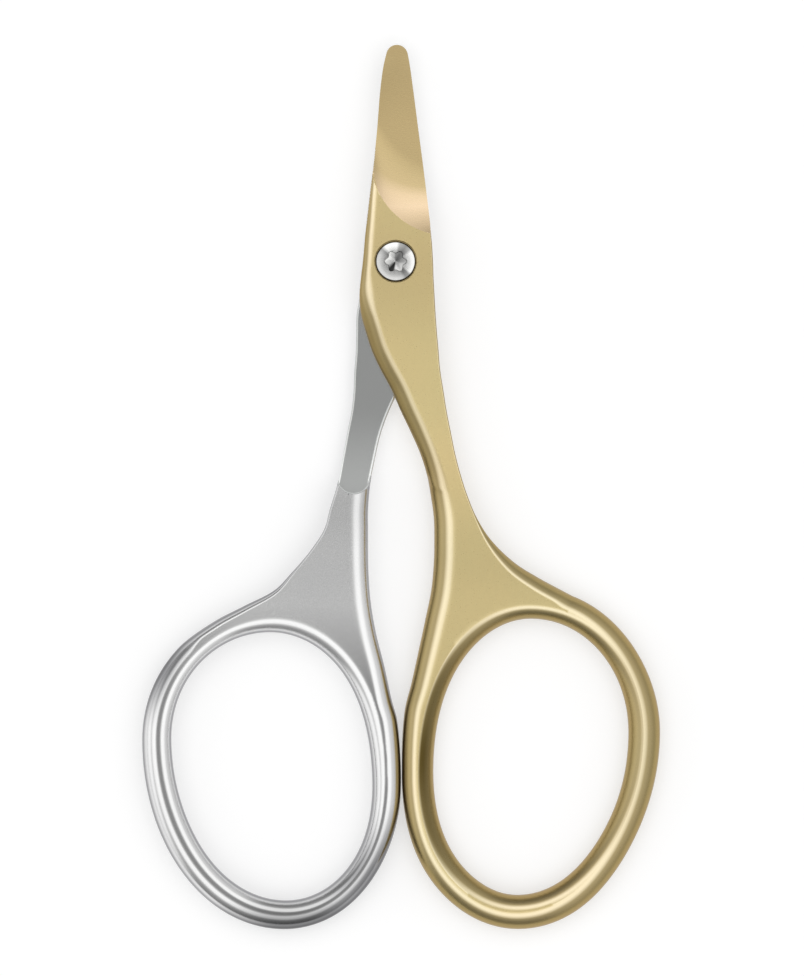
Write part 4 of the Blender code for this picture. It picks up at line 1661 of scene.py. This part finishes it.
FRONT_HALF = Forging(
    node="front_half", body="front", slot="gold_steel", finishes=(GOLD_SATIN, GOLD_GROUND, GOLD_GROUND),
    flipped=False, blade_length=22.03, tip_radius=1.10, tip_offset=0.14,
    hole_width=19.6, hole_height=28.2, ring_wall=3.40, shank_length=36.29, contact=0.65,
    lap_reach=23.5, outer_join_angle=72,
    hole_shares={"top": 0.4957, "bottom": 0.4334, "outer": 0.413, "inner": 0.5504},
    blade_shares=(
        (0.90, -0.163, 0.191), (0.80, -0.202, 0.231), (0.60, -0.249, 0.306), (0.46, -0.291, 0.359),
        (0.32, -0.341, 0.409), (0.14, -0.400, 0.469), (0.00, -0.437, 0.497)),
    joint_shares=((0.20, -0.461, 0.503), (0.457, -0.482, 0.517), (0.70, -0.461, 0.531)),
    shank_shares=(
        (0.20, 0.043, 0.897), (0.25, 0.070, 0.797), (0.30, 0.1055, 0.634), (0.36, 0.160, 0.438),
        (0.42, 0.207, 0.294), (0.48, 0.260, 0.151), (0.54, 0.310, 0.033), (0.60, 0.355, 0.010),
        (0.66, 0.395, 0.085), (0.72, 0.439, 0.238)),
    inner_web_shares=(
        (0.78, 0.283), (0.84, 0.280), (0.92, 0.261), (1.00, 0.2186), (1.09, 0.168), (1.18, 0.116),
        (1.26, 0.0653)),
    outer_web_shares=((0.78, 0.701), (0.843, 0.872), (0.885, 1.046)),
    hole_bulges=((180, 0.18), (150, 0.33), (95, -0.04), (30, 0.04), (-12, 0), (-45, -0.36),
                 (-75, -0.18), (-105, -0.04), (-150, 0.34), (-180, 0.18)),
    ring_bulges=((180, 0), (110, 0), (88, -0.3), (72, -0.3), (40, -0.34), (0, -0.12),
                 (-42, -0.56), (-80, -0.04), (-105, 0.02), (-145, 0.3), (-180, 0)),
    inner_flanks=((12, 0.04), (7, 0.95), (1.5, 1.14), (-0.6, 1.14), (-3.4, 1.7), (-19, 1.75),
                  (-27, 2.3), (-34, 2.3)),
    inner_powers=((0, 2), (-6, 1.7), (-14, 1.7), (-24, 2), (-34, 2)),
    inner_shade=((-2, 0), (-8, 0.4), (-20, 0.4), (-27, 0)),
    outer_flanks=((4, 0.04), (2, 0.14), (-25, 0.16), (-33.2, 1.4)),
    outer_depths=((-25, 0.16), (-33.5, 1.6)),
    hole_shade=((180, 1), (150, 0.8), (90, 0), (-90, 0), (-150, 0.8), (-180, 1)),
    seat_radius=2.15, seat_floor=0.53, ridge_tilt=22, hole_tilts=(34, 26))

REAR_HALF = Forging(
    node="rear_half", body="rear", slot="satin_steel",
    finishes=(STEEL_SATIN, STEEL_GROUND, STEEL_GROUND),
    flipped=True, blade_length=21.91, tip_radius=0.98, tip_offset=-0.14,
    hole_width=20.26, hole_height=27.1, ring_wall=3.05, shank_length=37.74, contact=-0.55,
    lap_reach=23.6, outer_join_angle=45,
    hole_shares={"top": 0.517, "bottom": 0.4366, "outer": 0.4026, "inner": 0.5827},
    blade_shares=(
        (0.90, -0.175, 0.147), (0.80, -0.215, 0.186), (0.60, -0.290, 0.233), (0.46, -0.343, 0.275),
        (0.32, -0.393, 0.325), (0.14, -0.453, 0.384), (0.00, -0.481, 0.421)),
    joint_shares=((0.20, -0.475, 0.445), (0.457, -0.482, 0.478), (0.70, -0.461, 0.520)),
    shank_shares=(
        (0.20, 0.043, 0.844), (0.25, 0.0724, 0.691), (0.30, 0.114, 0.515), (0.35, 0.158, 0.283),
        (0.40, 0.2025, 0.113), (0.46, 0.2528, 0.021), (0.53, 0.297, -0.010), (0.60, 0.337, -0.010),
        (0.67, 0.377, 0.120), (0.72, 0.398, 0.245)),
    inner_web_shares=(
        (0.78, 0.2223), (0.84, 0.218), (0.92, 0.1994), (1.00, 0.158), (1.09, 0.0902),
        (1.18, 0.0316), (1.24, -0.015)),
    outer_web_shares=((0.78, 0.689), (0.84, 0.842), (0.8845, 0.973), (0.928, 1.223), (0.970, 1.464)),
    hole_bulges=((180, 0.08), (135, 0.5), (90, 0.02), (60, 0), (35, 0.1), (0, 0.05),
                 (-30, -0.1), (-60, 0), (-135, 0.26), (-180, 0.08)),
    ring_bulges=((180, 0), (110, 0), (76, -0.44), (60, -0.44), (14, -0.03), (-115, 0),
                 (-148, -0.15), (-180, 0)),
    inner_flanks=((12, 0.04), (7, 0.8), (-2, 1), (-10, 1.45), (-23, 2.1), (-34, 2)),
    inner_powers=((-12, 2), (-22, 2.5), (-34, 2.5), (-48, 2)),
    outer_flanks=((4, 0.04), (2, 0.22), (-22, 0.22), (-30, 0.2), (-37.5, 0.8)),
    outer_depths=((-29, 0.16), (-38, 1.6)),
    hole_shade=((-100, 0), (-129, 0.9), (-160, 0)),
    ring_shade=((125, 0), (100, 0.4), (65, 0.4), (42, 1), (15, 0), (-75, 0),
                (-93, 0.8), (-130, 1), (-165, 0)),
    hole_flanks=((180, 0.47), (143, 0.7), (95, 0.6), (30, 0.45), (-180, 0.47)),
    seat_radius=1.36, seat_floor=1.44, hole_tilts=(0, 8), hole_power=2.8)


def main() -> None:
    """Builds every piece and the studio, and reports each one."""
    logging.basicConfig(level=logging.INFO, format="%(name)s: %(message)s")
    joint = frame["joints"][0]
    pivot = Vector(joint["pos_m"])
    for maker in (REAR_HALF, FRONT_HALF, PivotScrew(), BearingWasher()):
        piece = maker.make(pivot)
        log.info("%s rides on %s with %d faces", piece.name, maker.body, len(piece.data.polygons))
    Table().make()
    LightTent().make()
    PhotoCamera().make(pivot)
    bpy.context.scene.view_settings.view_transform = "Standard"


if __name__ == "__main__":
    main()
